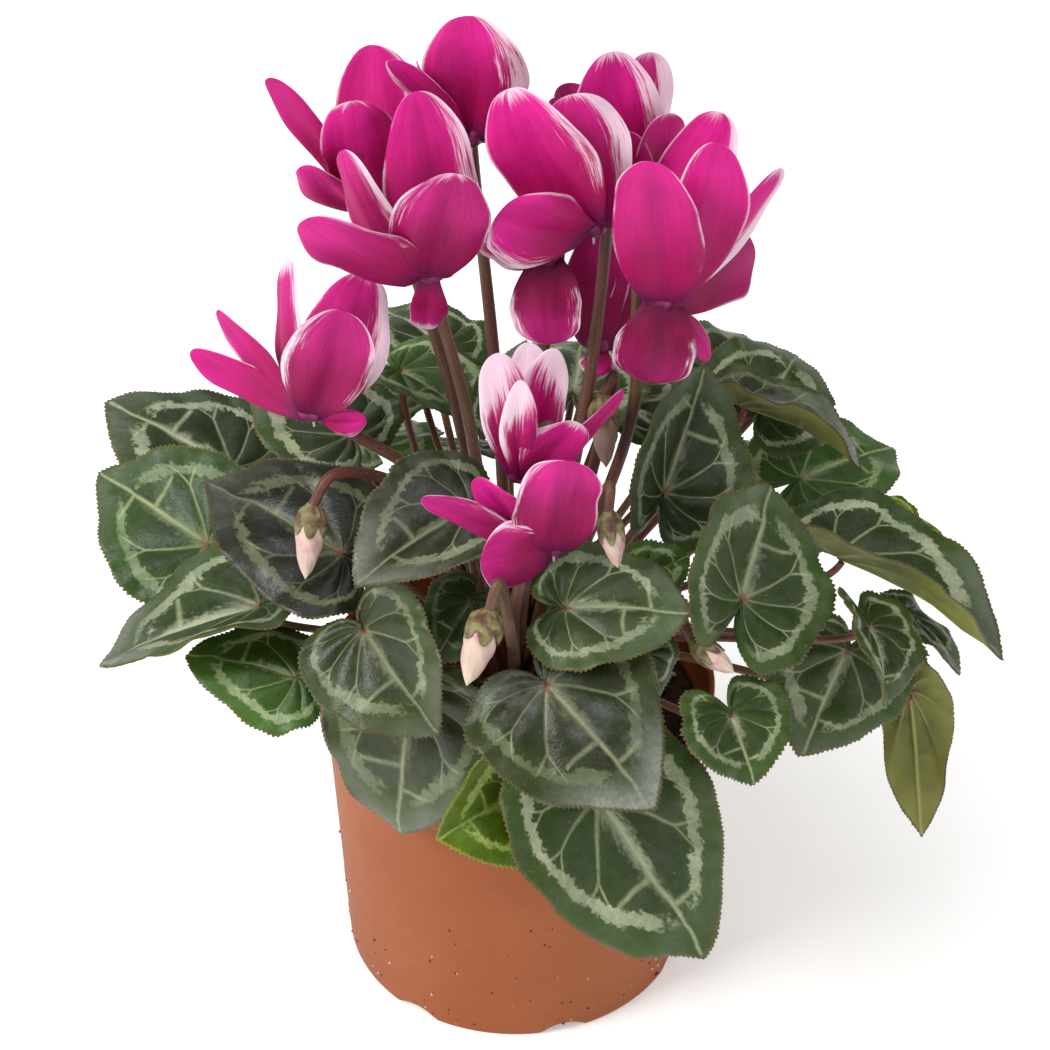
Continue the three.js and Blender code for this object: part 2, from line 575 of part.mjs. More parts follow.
function budStalk([, bend, hook, neck, tip, radius]) {
  const down = vec(tip).sub(vec(neck)).normalize();
  const seat = vec(neck).addScaledVector(down, -GAP).toArray();
  const top = vec(neck).addScaledVector(down, -CALYX_LENGTH);
  const end = top.clone().addScaledVector(down, BUD_HOOK_DROP).toArray();
  return makeHookedStalk([bend, hook, end]).add(makeCalyx(top.toArray(), seat, radius * BUD_CALYX_SHARE));
}

const flowerStalkBodies = () => [
  ...BLOOMS.map((bloom) => [bloom[0], bloomStalk(bloom)]),
  ...BUDS.map((bud) => [bud[0], budStalk(bud)]),
];

function makeFlowerStalks() {
  const stalks = flowerStalkBodies().map(([, body]) => body);
  return geometryOf(biggest(joined([makeCrown(0, FLOWER_CROWN_RADIUS), ...stalks])));
}

function makeLeafStalks() {
  const stalks = LEAVES.map(makeLeafStalk);
  return geometryOf(biggest(joined([makeCrown(LEAF_CROWN_INNER, LEAF_CROWN_RADIUS), ...stalks])));
}

function makeBud([, , , neck, tip, radius]) {
  const rings = [[0, radius * BUD_CALYX_SHARE], [0.3, radius], [0.65, radius * 0.7]];
  return spindle(neck, tip, rings, CALYX_SIDES);
}

const plant = new THREE.Group();
plant.name = "potted_cyclamen";

function place(name, geometry, colour, roughness) {
  const mesh = new THREE.Mesh(geometry, paint(colour, roughness));
  mesh.name = name;
  plant.add(mesh);
}

place("pot", makePot(), "terracotta", 0.6);
place("soil", makeSoil(), "soil", 1);
place("tuber", tuberGeometry(0), "tuber", 0.9);
place("leaf_stalks", makeLeafStalks(), "stalk", 0.6);
place("flower_stalks", makeFlowerStalks(), "stalk", 0.6);
for (const leaf of LEAVES) {
  place(leaf[0], makeLeaf(leaf), leaf[10], 0.5);
}
for (const bloom of BLOOMS) {
  place(bloom[0], makeBloom(bloom), "petal", 0.55);
}
for (const bud of BUDS) {
  place(bud[0], makeBud(bud), "bud", 0.6);
}

export default plant;
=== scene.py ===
"""A potted cyclamen: magenta blooms over silver-marked leaves in a terracotta-coloured nursery pot.

Each class makes the finer pieces of one sub-assembly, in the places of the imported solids, and the
finishes that they wear. A blade, a petal, a stalk and the pot are surfaces of two parameters, worked
out as whole arrays in millimetres, and make_piece puts them into meshes in metres.
"""

from __future__ import annotations

import logging
import math
from dataclasses import dataclass
from dataclasses import field
from enum import Enum

import bmesh
import bpy
import numpy as np
from numpy.typing import NDArray
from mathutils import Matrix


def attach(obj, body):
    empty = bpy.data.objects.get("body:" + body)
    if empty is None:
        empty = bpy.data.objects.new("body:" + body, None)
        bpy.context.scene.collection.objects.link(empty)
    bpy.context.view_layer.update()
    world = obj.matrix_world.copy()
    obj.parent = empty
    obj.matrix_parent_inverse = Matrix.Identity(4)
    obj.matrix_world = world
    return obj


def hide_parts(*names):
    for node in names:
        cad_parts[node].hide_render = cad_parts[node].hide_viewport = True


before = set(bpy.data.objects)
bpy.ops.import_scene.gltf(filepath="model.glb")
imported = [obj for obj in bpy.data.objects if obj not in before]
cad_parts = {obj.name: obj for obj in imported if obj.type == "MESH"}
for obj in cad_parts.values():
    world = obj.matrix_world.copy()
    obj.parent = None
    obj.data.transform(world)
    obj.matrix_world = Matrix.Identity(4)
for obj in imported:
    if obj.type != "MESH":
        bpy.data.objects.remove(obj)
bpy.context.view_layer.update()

Array = NDArray[np.float64]
Point = tuple[float, float, float]
Span = tuple[float, float]
Colour = tuple[float, float, float]
Material = bpy.types.Material

LOG = logging.getLogger("cyclamen")
MM = 0.001
TINY = 1e-9
WELD = 1e-6
CREASE = math.radians(55)
GOLDEN = (1 + math.sqrt(5)) / 2
UP = np.array([0.0, 0.0, 1.0])
CANOPY_HEART = np.array([0.0, 0.0, 60.0])
CROWN_Z = 92.3
CROWN_HEIGHT = 3.4


class Tone(Enum):
    """The kinds of green that a blade shows."""

    DARK = "dark"
    MID = "mid"
    BRIGHT = "bright"
    GREY = "grey"
    OLIVE = "olive"


def unit(vectors: Array) -> Array:
    """Scales vectors to length one along the last axis."""
    return vectors / np.maximum(np.linalg.norm(vectors, axis=-1, keepdims=True), TINY)


def vec(point: Point) -> Array:
    """A point as an array."""
    return np.array(point, float)


def level(degrees: float) -> Array:
    """The level direction at an angle from +X."""
    return np.array([math.cos(math.radians(degrees)), math.sin(math.radians(degrees)), 0.0])


def stack(*parts: Array) -> Array:
    """Broadcasts arrays to one shape and puts them side by side on a last axis."""
    return np.stack(np.broadcast_arrays(*parts), axis=-1)


def circle(sides: int) -> Array:
    """Angles once round, with the first one again at the end."""
    return np.linspace(0, 2 * np.pi, sides + 1)


def spokes(turn: Array, side: Array, other: Array) -> Array:
    """The directions side cos a + other sin a at the angles a."""
    return np.cos(turn)[..., None] * side + np.sin(turn)[..., None] * other


def smooth(values: Array) -> Array:
    """The smooth step 3v squared minus 2v cubed of values cut to the range 0 to 1."""
    cut = np.clip(values, 0.0, 1.0)
    return cut * cut * (3 - 2 * cut)


def turned(vector: Array, axis: Array, angle: float) -> Array:
    """Turns a vector about a unit axis: v cos a + (k cross v) sin a + k (k dot v)(1 - cos a)."""
    sine, cosine = math.sin(angle), math.cos(angle)
    return vector * cosine + np.cross(axis, vector) * sine + axis * np.dot(axis, vector) * (1 - cosine)


def ripple(points: Array, wavelength: float, seed: int) -> Array:
    """A smooth wandering value, the mean of twelve sine waves along seeded random directions.

    Args:
        points: Points in mm, with the coordinates last.
        wavelength: The mean length of a wave in mm.
        seed: Seed of the directions and phases.

    Returns:
        One value from about -1 to 1 for each point.
    """
    draw = np.random.default_rng(seed)
    waves = 12
    directions = unit(draw.normal(size=(waves, 3))) * draw.uniform(0.7, 1.5, (waves, 1))
    phases = draw.uniform(0, 2 * np.pi, waves)
    total = np.sin(points @ directions.T * (2 * np.pi / wavelength) + phases).sum(axis=-1)
    return total / math.sqrt(waves)


def line_frame(start: Array, end: Array) -> tuple[Array, Array, Array, float]:
    """Axes of a line.

    Args:
        start: Its first point.
        end: Its last point.

    Returns:
        Its direction, two directions square to it, and its length.
    """
    down = end - start
    length = float(np.linalg.norm(down))
    down = down / length
    side = unit(np.cross(down, np.array([0.3, 1.0, 0.2])))
    return down, side, np.cross(down, side), length


@dataclass
class Surface:
    """One patch of faces: its points in mm, its uv, the finish that it wears, what its points carry."""

    points: Array
    faces: NDArray[np.int64]
    uv: Array
    finish: int
    values: dict[str, Array]


def grid(points: Array, uv: Array, finish: int = 0, **values: Array | float) -> Surface:
    """Makes a patch of quads from a grid of points.

    Args:
        points: Rows by columns by 3, in mm.
        uv: Rows by columns by 2.
        finish: Index of the finish in the piece's list.
        values: What the points carry, each rows by columns or a single number.

    Returns:
        The patch, with one quad between each four neighbours.
    """
    rows, columns = points.shape[:2]
    index = np.arange(rows * columns).reshape(rows, columns)
    faces = np.stack([index[:-1, :-1], index[1:, :-1], index[1:, 1:], index[:-1, 1:]], axis=-1)
    flat = {name: np.broadcast_to(value, (rows, columns)).reshape(-1) for name, value in values.items()}
    return Surface(points.reshape(-1, 3), faces.reshape(-1, 4), uv.reshape(-1, 2), finish, flat)


def closed_sheet(
    middle: Array, half: Array, facing: Array, uv: Array, lower: int, **values: Array | float
) -> list[Surface]:
    """Two faces of a thin sheet: its middle surface, plus and minus half its thickness.

    The normals are the cross products of the differences along rows and columns. Half the thickness
    falls to nothing at the borders, so that the weld closes them. The upper face has finish 0.

    Args:
        middle: The middle surface, rows by columns by 3, in mm.
        half: Half the thickness at each point, in mm.
        facing: The direction that the upper face looks in, for the normals' signs and the poles.
        uv: Rows by columns by 2.
        lower: Index of the lower face's finish.
        values: What the points of both faces carry.

    Returns:
        The upper and the lower patch.
    """
    normals = np.cross(np.gradient(middle, axis=0), np.gradient(middle, axis=1))
    size = np.linalg.norm(normals, axis=-1, keepdims=True)
    normals = np.where(size > TINY, normals / np.maximum(size, TINY), facing)
    shift = np.where((normals @ facing)[..., None] < 0, -normals, normals) * half[..., None]
    return [grid(middle + shift, uv, **values), grid(middle - shift, uv, lower, **values)]


def tube(path: Array, radii: Array, sides: int, **values: float) -> Surface:
    """A round tube along a path, closed at both ends.

    A point is p + r (s cos a + t sin a). The cross axes s and t come from the direction that is most
    square to the whole path, the last one of its tangents' singular vectors.

    Args:
        path: The centreline, n by 3, in mm.
        radii: The radius at each point of the path.
        sides: Number of sides.
        values: What the points carry.

    Returns:
        The tube's patch. Its uv is the length along it in cm and the share of the way round.
    """
    tangents = unit(np.gradient(path, axis=0))
    first = unit(np.cross(tangents, np.linalg.svd(tangents)[2][-1]))
    second = np.cross(tangents, first)
    path, first, second = (np.concatenate([row[:1], row, row[-1:]]) for row in (path, first, second))
    turn = circle(sides)
    points = path[:, None] + spokes(turn, first[:, None], second[:, None]) * np.pad(radii, 1)[:, None, None]
    steps = np.linalg.norm(np.diff(path, axis=0), axis=1)
    travelled = np.concatenate([[0.0], np.cumsum(steps)]) / 10
    return grid(points, stack(travelled[:, None], turn / (2 * np.pi)), **values)


def lathe(profile: Array, sides: int) -> Surface:
    """Spins a profile of radii and heights about the upright axis.

    Args:
        profile: n by 2, radius and height in mm.
        sides: Number of sides.

    Returns:
        The spun patch. Its uv is the share of the way round and the share along the profile.
    """
    turn = circle(sides)
    along = np.linspace(0, 1, len(profile))[:, None]
    points = stack(profile[:, :1] * np.cos(turn), profile[:, :1] * np.sin(turn), profile[:, 1:])
    return grid(points, stack(turn / (2 * np.pi), along))


def rounded(corners: list[Span], spacing: float) -> Array:
    """Points at an even spacing along a line of corners.

    Args:
        corners: The corners' radii and heights in mm.
        spacing: The longest step in mm.

    Returns:
        n by 2, with every corner kept.
    """
    line = np.array(corners, float)
    lengths = np.linalg.norm(np.diff(line, axis=0), axis=1)
    parts = [
        np.linspace(start, end, max(2, int(length / spacing) + 2))[:-1]
        for start, end, length in zip(line[:-1], line[1:], lengths)
    ]
    return np.concatenate([*parts, line[-1:]])


def grains(places: Array, sizes: Array, finish: int, seed: int) -> Surface:
    """Small rough grains, each an icosahedron stretched at random.

    Args:
        places: Their centres, n by 3, in mm.
        sizes: Their radii in mm.
        finish: Index of the finish.
        seed: Seed of the stretches.

    Returns:
        One patch of triangles for all the grains.
    """
    signs = np.array([(a, b) for a in (-1, 1) for b in (-1, 1)], float)
    flat = np.stack([np.zeros(4), signs[:, 0], signs[:, 1] * GOLDEN], axis=1)
    corners = unit(np.concatenate([flat, np.roll(flat, 1, axis=1), np.roll(flat, 2, axis=1)]))
    hull = bmesh.new()
    bmesh.ops.convex_hull(hull, input=[hull.verts.new(corner) for corner in corners])
    hull.verts.index_update()
    faces = np.array([[corner.index for corner in face.verts] for face in hull.faces])
    hull.free()
    draw = np.random.default_rng(seed)
    count = len(places)
    stretch = draw.uniform(0.55, 1.25, (count, 12, 1)) * draw.uniform(0.7, 1.2, (count, 1, 3))
    points = places[:, None] + corners[None] * stretch * sizes[:, None, None]
    every = faces[None] + 12 * np.arange(count)[:, None, None]
    return Surface(points.reshape(-1, 3), every.reshape(-1, 3), np.zeros((12 * count, 2)), finish, {})


def make_piece(
    name: str, nodes: list[str], surfaces: list[Surface], finishes: list[Material]
) -> None:
    """Puts patches into one mesh, welds their seams and poles, and rides it on the root.

    Args:
        name: The piece's name.
        nodes: The nodes that it stands for.
        surfaces: The patches, in mm.
        finishes: The materials that the patches' finish numbers name.
    """
    starts = np.cumsum([0] + [len(patch.points) for patch in surfaces])
    points = np.concatenate([patch.points for patch in surfaces]) * MM
    uv = np.concatenate([patch.uv for patch in surfaces])
    faces = [patch.faces + start for patch, start in zip(surfaces, starts)]
    corners = np.concatenate([block.reshape(-1) for block in faces])
    mesh = bpy.data.meshes.new(name)
    mesh.from_pydata(points.tolist(), [], [face for block in faces for face in block.tolist()])
    mesh.uv_layers.new(name="surface").data.foreach_set("uv", uv[corners].reshape(-1))
    wears = np.concatenate([np.full(len(patch.faces), patch.finish) for patch in surfaces])
    mesh.polygons.foreach_set("material_index", wears)
    for key in sorted({key for patch in surfaces for key in patch.values}):
        blocks = [patch.values.get(key, np.zeros(len(patch.points))) for patch in surfaces]
        layer = mesh.attributes.new(key, "FLOAT", "POINT")
        layer.data.foreach_set("value", np.concatenate(blocks).astype(np.float32))
    for finish in finishes:
        mesh.materials.append(finish)
    work = bmesh.new()
    work.from_mesh(mesh)
    bmesh.ops.remove_doubles(work, verts=work.verts, dist=WELD)
    bmesh.ops.recalc_face_normals(work, faces=work.faces)
    work.to_mesh(mesh)
    work.free()
    mesh.polygons.foreach_set("use_smooth", np.ones(len(mesh.polygons), bool))
    mesh.set_sharp_from_angle(angle=CREASE)
    piece = bpy.data.objects.new(name, mesh)
    bpy.context.scene.collection.objects.link(piece)
    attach(piece, "root")
    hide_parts(*nodes)
    LOG.info("%s stands for %s with %d faces", name, ", ".join(nodes), len(mesh.polygons))


def shade(colour: Colour) -> tuple[float, float, float, float]:
    """Turns a display colour from 0 to 255 into the linear colour that shaders take."""
    share = np.array(colour, float) / 255
    return (*np.where(share <= 0.04045, share / 12.92, ((share + 0.055) / 1.055) ** 2.4).tolist(), 1.0)


class Value:
    """A number, colour or vector in a material. Arithmetic with it adds Math nodes."""

    def __init__(self, graph: Graph, socket: bpy.types.NodeSocket) -> None:
        """Keeps the graph and the socket."""
        self.graph = graph
        self.socket = socket

    def __add__(self, other: Input) -> Value:
        """The sum."""
        return self.graph.math("ADD", self, other)

    def __sub__(self, other: Input) -> Value:
        """The difference."""
        return self.graph.math("SUBTRACT", self, other)

    def __mul__(self, other: Input) -> Value:
        """The product."""
        return self.graph.math("MULTIPLY", self, other)

    def __truediv__(self, other: Input) -> Value:
        """The quotient."""
        return self.graph.math("DIVIDE", self, other)

    def __abs__(self) -> Value:
        """The size without the sign."""
        return self.graph.math("ABSOLUTE", self)

    def step(self, low: Input, high: Input) -> Value:
        """A smooth step, 0 at low and 1 at high, which may be the smaller one."""
        return self.graph.node("MapRange", 0, self, low, high, interpolation_type="SMOOTHSTEP")

    def toward(self, amount: Value, colour: Colour) -> Value:
        """This colour mixed with another one, all of the other at amount 1."""
        return self.graph.mix(amount, self, shade(colour))

    def lighten(self, tone: Value) -> Value:
        """This colour with its brightness multiplied."""
        return self.graph.node("HueSaturation", 0, Color=self, Value=tone)


Input = Value | float | tuple[float, ...]


class Graph:
    """A material's nodes, added one by one round a Principled shader."""

    def __init__(self, name: str) -> None:
        """Starts a material that has only its shader and its output.

        Args:
            name: The material's name.
        """
        self.material = bpy.data.materials.new(name)
        self.material.use_nodes = True
        self.nodes = self.material.node_tree.nodes
        self.links = self.material.node_tree.links
        self.nodes.clear()
        self.shader = self.nodes.new("ShaderNodeBsdfPrincipled")
        output = self.nodes.new("ShaderNodeOutputMaterial")
        self.links.new(self.shader.outputs["BSDF"], output.inputs["Surface"])

    def plug(self, socket: bpy.types.NodeSocket, value: Input) -> None:
        """Links a socket to a value, or sets its own.

        Args:
            socket: The input.
            value: A value of the graph, or a plain number or colour.
        """
        if isinstance(value, Value):
            self.links.new(value.socket, socket)
        else:
            socket.default_value = value

    def set(self, **inputs: Input) -> None:
        """Fills inputs of the shader, named with underscores for spaces."""
        for name, value in inputs.items():
            self.plug(self.shader.inputs[name.replace("_", " ")], value)

    def node(self, kind: str, output: int | str, *values: Input, **named: Input | str) -> Value:
        """Adds a node and fills it.

        Args:
            kind: The node's type after ShaderNode.
            output: Index or name of the output that is wanted.
            values: Values of its first inputs, of those that its settings leave in use.
            named: Its settings, in small letters, and values of inputs by their capitalised names.

        Returns:
            The output.
        """
        node = self.nodes.new(f"ShaderNode{kind}")
        for name, value in named.items():
            if name.islower():
                setattr(node, name, value)
            else:
                self.plug(node.inputs[name], value)
        for socket, value in zip([socket for socket in node.inputs if socket.enabled], values):
            self.plug(socket, value)
        return Value(self, node.outputs[output])

    def math(self, operation: str, *values: Input) -> Value:
        """Adds a Math node."""
        return self.node("Math", 0, *values, operation=operation)

    def mix(self, amount: Input, first: Input, second: Input) -> Value:
        """Mixes two colours, all of the first at amount 0."""
        return self.node("Mix", 2, amount, first, second, data_type="RGBA")

    def between(self, amount: Input, first: Colour, second: Colour) -> Value:
        """Mixes two display colours."""
        return self.mix(amount, shade(first), shade(second))

    def place(self) -> Value:
        """The point's place in metres."""
        return self.node("TexCoord", "Object")

    def split(self, vector: Value) -> list[Value]:
        """The three numbers of a vector."""
        first = self.node("SeparateXYZ", 0, vector)
        return [Value(self, socket) for socket in first.socket.node.outputs]

    def surface(self) -> list[Value]:
        """The two numbers of the piece's own uv map."""
        return self.split(self.node("UVMap", 0, uv_map="surface"))[:2]

    def carried(self, name: str) -> Value:
        """A named value that the mesh's points carry."""
        return self.node("Attribute", "Fac", attribute_name=name)

    def noise(self, vector: Value, scale: float, detail: float = 3.0, rough: float = 0.5) -> Value:
        """Noise from 0 to 1 with about scale lumps for each unit of the vector."""
        return self.node("TexNoise", 0, Vector=vector, Scale=scale, Detail=detail, Roughness=rough)

    def drawn(self, x: Input, y: Input, z: Input, detail: float = 3.0, rough: float = 0.5) -> Value:
        """Noise over three numbers, drawn out along those that change slowly."""
        return self.noise(self.node("CombineXYZ", 0, x, y, z), 1.0, detail, rough)

    def relief(self, height: Value, distance: float, strength: float) -> None:
        """Bends the shader's normal by a height of so many metres."""
        self.set(Normal=self.node("Bump", 0, Height=height, Distance=distance, Strength=strength))


def two_toned(name: str, first: Colour, second: Colour, roughness: float) -> Material:
    """Makes a plain rough finish that fine noise runs from one colour to another.

    Args:
        name: The material's name.
        first: The colour where the noise is low.
        second: The colour where it is high.
        roughness: Its roughness.

    Returns:
        The material.
    """
    graph = Graph(name)
    speckle = graph.noise(graph.place(), 900)
    graph.set(Base_Color=graph.between(speckle, first, second), Roughness=roughness)
    return graph.material


VEIN_SPACING = 0.24
VEIN_LEAN = 0.22
FORK_START = 0.58
FORK_SPREAD = 0.3
BRANCH_AT = 0.56
BRANCH_SHIFT = 0.09
BRANCH_LEAN = 0.5
BRANCH_REACH = 0.3


@dataclass(frozen=True)
class LeafFinish:
    """The colours of a blade, as display colours, and its gloss."""

    name: str
    heart: Colour
    outer: Colour
    silver: Colour
    vein: Colour
    margin: Colour
    under: Colour
    roughness: float
    # painted gloss and painted sheen, standing in for reflections of the lights
    film: Colour = (106, 110, 108)
    sheen: Colour = (146, 150, 140)
    blush: Colour = (116, 50, 26)
    glow: Colour = (142, 142, 66)
    rib: Colour = (176, 178, 118)
    flush: Colour = (128, 70, 48)

    def veins(self, graph: Graph, share: Value, swing: Value) -> tuple[Value, Value]:
        """Distances to the midrib and to the side veins, as shares of the blade's reach.

        The side veins leave the stalk at even angles, lean towards the tip and fork at the band. One
        branch leaves the midrib on each side.

        Args:
            graph: The material's nodes.
            share: Share of the way from the stalk to the margin.
            swing: Angle from the midrib as a share of a half turn, from -1 to 1.

        Returns:
            The two distances.
        """
        angle = abs(swing)
        turn = angle * math.pi
        across = graph.math("SINE", turn) * share
        forward = graph.math("COSINE", turn) * share
        midrib = across + graph.math("GREATER_THAN", angle, 0.5)
        lead = angle / (share * -VEIN_LEAN + 1.0)
        gap = graph.math("PINGPONG", lead, VEIN_SPACING / 2)
        past = graph.math("MAXIMUM", share - FORK_START, 0.0)
        side = abs(gap - past * FORK_SPREAD) * share * math.pi
        side = side + graph.math("LESS_THAN", lead, VEIN_SPACING / 2)
        foot = graph.math("SIGN", swing) * BRANCH_SHIFT + BRANCH_AT
        branch = abs(forward - (across * BRANCH_LEAN + foot))
        branch = branch + graph.math("GREATER_THAN", across, BRANCH_REACH)
        return midrib, graph.math("MINIMUM", side, branch)

    def upper(self) -> Material:
        """Makes the upper face's material.

        Returns:
            A material with the dark heart, the jagged silver band, the pale veins, patches of painted grey
            gloss with a painted sheen towards the tip, and the toothed margin's own colour.
        """
        graph = Graph(f"{self.name}_upper")
        share, turn = graph.surface()
        place = graph.place()
        phase = graph.carried("phase")
        silver = graph.carried("silver")
        film = graph.carried("film")
        swing = turn * 2.0 - 1.0 + (graph.noise(place, 60, 2) * 0.05 - 0.025)
        angle = abs(swing)
        midrib, side = self.veins(graph, share, swing)
        streaks = graph.drawn(swing * 26.0, share * 9.0, phase, 5, 0.7)
        flecks = graph.noise(place, 700, 3, 0.7)
        ragged = streaks * 0.22 + (flecks * 0.1 - 0.16)
        out = share + ragged - graph.carried("band")
        waver = graph.drawn(swing * 3.5, 0.0, phase, 2) * 0.16 - 0.08
        band = (out + waver).step(-0.015, 0.01) * (out - waver * 0.4).step(0.115, 0.085) * silver
        band = band * (angle + ragged).step(0.02, 0.07) * angle.step(0.93, 0.78)
        band = band * (flecks * 0.9 + 0.45) * (graph.drawn(swing * 8.0, share, phase) * 1.5 + 0.15)
        colour = graph.between(out.step(-0.12, 0.08), self.heart, self.outer)
        colour = colour.toward(side.step(0.12, 0.0) * 0.35, self.outer)
        mottle = graph.noise(place, 240, 5, 0.65)
        tone = mottle * 1.2 + graph.noise(place, 45, 3) * 0.9 - 0.1
        # Painted light and shade: each blade's brightness is scaled by a number of its own, partly its own
        # tone and partly painted light and shade
        colour = colour.lighten(tone * graph.carried("lightness"))
        colour = colour.toward(band * 0.85, self.silver)
        wedge = (midrib + ragged).step(share * -0.14 + 0.13, 0.0) * (silver * 0.7)
        colour = colour.toward(wedge * share.step(0.75, 0.3), self.silver)
        thin = side.step(share * -0.02 + 0.04, 0.0) * share.step(0.84, 0.72)
        thick = midrib.step(share * -0.026 + 0.042, 0.0)
        vein = graph.math("MAXIMUM", thin * 0.75, thick * 0.95)
        vein = vein * (flecks + 0.15) * (graph.drawn(swing * 9.0, share, phase, 1) * 1.1 + 0.4)
        colour = colour.toward(vein, self.vein)
        # Painted light: grey gloss in patches and a sheen near the tip, standing in for the lights'
        # reflections
        colour = colour.toward(film * graph.noise(place, 55, 6, 0.7).step(0.46, 0.66) * 0.5, self.film)
        sheen = share.step(0.68, 1.0) * angle.step(0.26, 0.04) * (flecks * 1.2 + 0.2)
        colour = colour.toward(sheen * film, self.sheen)
        colour = colour.toward(graph.noise(place, 1100, 2).step(0.69, 0.77) * 0.3, self.silver)
        colour = colour.toward((streaks * 0.04 + share).step(0.98, 1.008), self.margin)
        colour = colour.toward((share + ragged).step(0.1, 0.01) * 0.8, self.blush)
        quilt = graph.noise(place, 1500, 2, 0.6) * 0.3 + graph.noise(place, 330, 4, 0.6)
        graph.relief(quilt - vein * 0.5, 0.00045, 0.6)
        rough = mottle * 0.24 + (self.roughness - 0.12)
        graph.set(Base_Color=colour, Roughness=rough, Specular_IOR_Level=0.32)
        return graph.material

    def lower(self) -> Material:
        """Makes the underside's material.

        Returns:
            A paler, plain green with raised veins and a reddish flush round the stalk.
        """
        graph = Graph(f"{self.name}_lower")
        share, turn = graph.surface()
        place = graph.place()
        midrib, side = self.veins(graph, share, turn * 2.0 - 1.0)
        dark = tuple(0.7 * part for part in self.under)
        colour = graph.between(graph.noise(place, 120, 4, 0.6).step(0.25, 0.75), dark, self.under)
        colour = colour.toward(share.step(0.3, 1.0) * graph.noise(place, 30, 2), self.glow)
        fine = side.step(0.03, 0.0) * share.step(0.75, 0.3)
        ribs = graph.math("MAXIMUM", midrib.step(0.04, 0.0), fine * 0.5)
        colour = colour.toward(ribs * 0.5, self.rib)
        colour = colour.toward(share.step(0.25, 0.0) * 0.5, self.flush)
        colour = colour.toward(share.step(0.972, 0.992), self.margin)
        graph.relief(graph.noise(place, 900, 2) * 0.4 + ribs, 0.0004, 0.6)
        graph.set(Base_Color=colour, Roughness=0.55, Specular_IOR_Level=0.4)
        return graph.material


LEAF_FINISHES = {
    Tone.DARK: LeafFinish(
        name="leaf_dark", heart=(46, 62, 24), outer=(59, 80, 33), silver=(164, 171, 140),
        vein=(176, 182, 142), margin=(88, 82, 46), under=(98, 110, 38), roughness=0.42,
    ),
    Tone.MID: LeafFinish(
        name="leaf_mid", heart=(56, 84, 28), outer=(66, 98, 36), silver=(156, 170, 128),
        vein=(174, 182, 132), margin=(90, 86, 42), under=(100, 112, 38), roughness=0.4,
    ),
    Tone.BRIGHT: LeafFinish(
        name="leaf_bright", heart=(68, 92, 0), outer=(82, 106, 0), silver=(158, 178, 96),
        vein=(170, 186, 96), margin=(118, 126, 30), under=(124, 134, 34), roughness=0.42,
    ),
    Tone.GREY: LeafFinish(
        name="leaf_grey", heart=(50, 58, 30), outer=(64, 76, 36), silver=(124, 132, 100),
        vein=(150, 156, 122), margin=(82, 76, 48), under=(94, 102, 40), roughness=0.36,
    ),
    Tone.OLIVE: LeafFinish(
        name="leaf_olive", heart=(38, 44, 24), outer=(48, 54, 30), silver=(100, 106, 76),
        vein=(108, 114, 78), margin=(76, 66, 40), under=(104, 108, 36), roughness=0.36,
    ),
}


@dataclass(frozen=True)
class Leaf:
    """One blade: where its stalk joins it, its tip, its outline and bend, how it is marked, and its painted
    gloss and light.
    """

    name: str
    joint: Point
    tip: Point
    breadth: float = 1.1
    lobes: float = 0.4
    fold: Span = (4, 4)
    roll: float = 0
    wave: float = 1.2
    bow: float = 0.05
    tone: Tone = Tone.MID
    silver: float = 1.0
    # strength of the painted grey gloss
    film: float = 0.2
    band: float = 0.7
    # brightness, partly the blade's own tone and partly painted light and shade
    lightness: float = 1.0

    def axes(self) -> tuple[Array, Array, Array, float]:
        """The blade's own axes.

        Returns:
            Along the midrib, to its left, out of its upper face, and the midrib's length in mm.
        """
        joint = vec(self.joint)
        along = vec(self.tip) - joint
        length = float(np.linalg.norm(along))
        along = along / length
        out = joint - CANOPY_HEART
        out = turned(unit(out - along * np.dot(out, along)), along, math.radians(self.roll))
        return along, np.cross(out, along), out, length


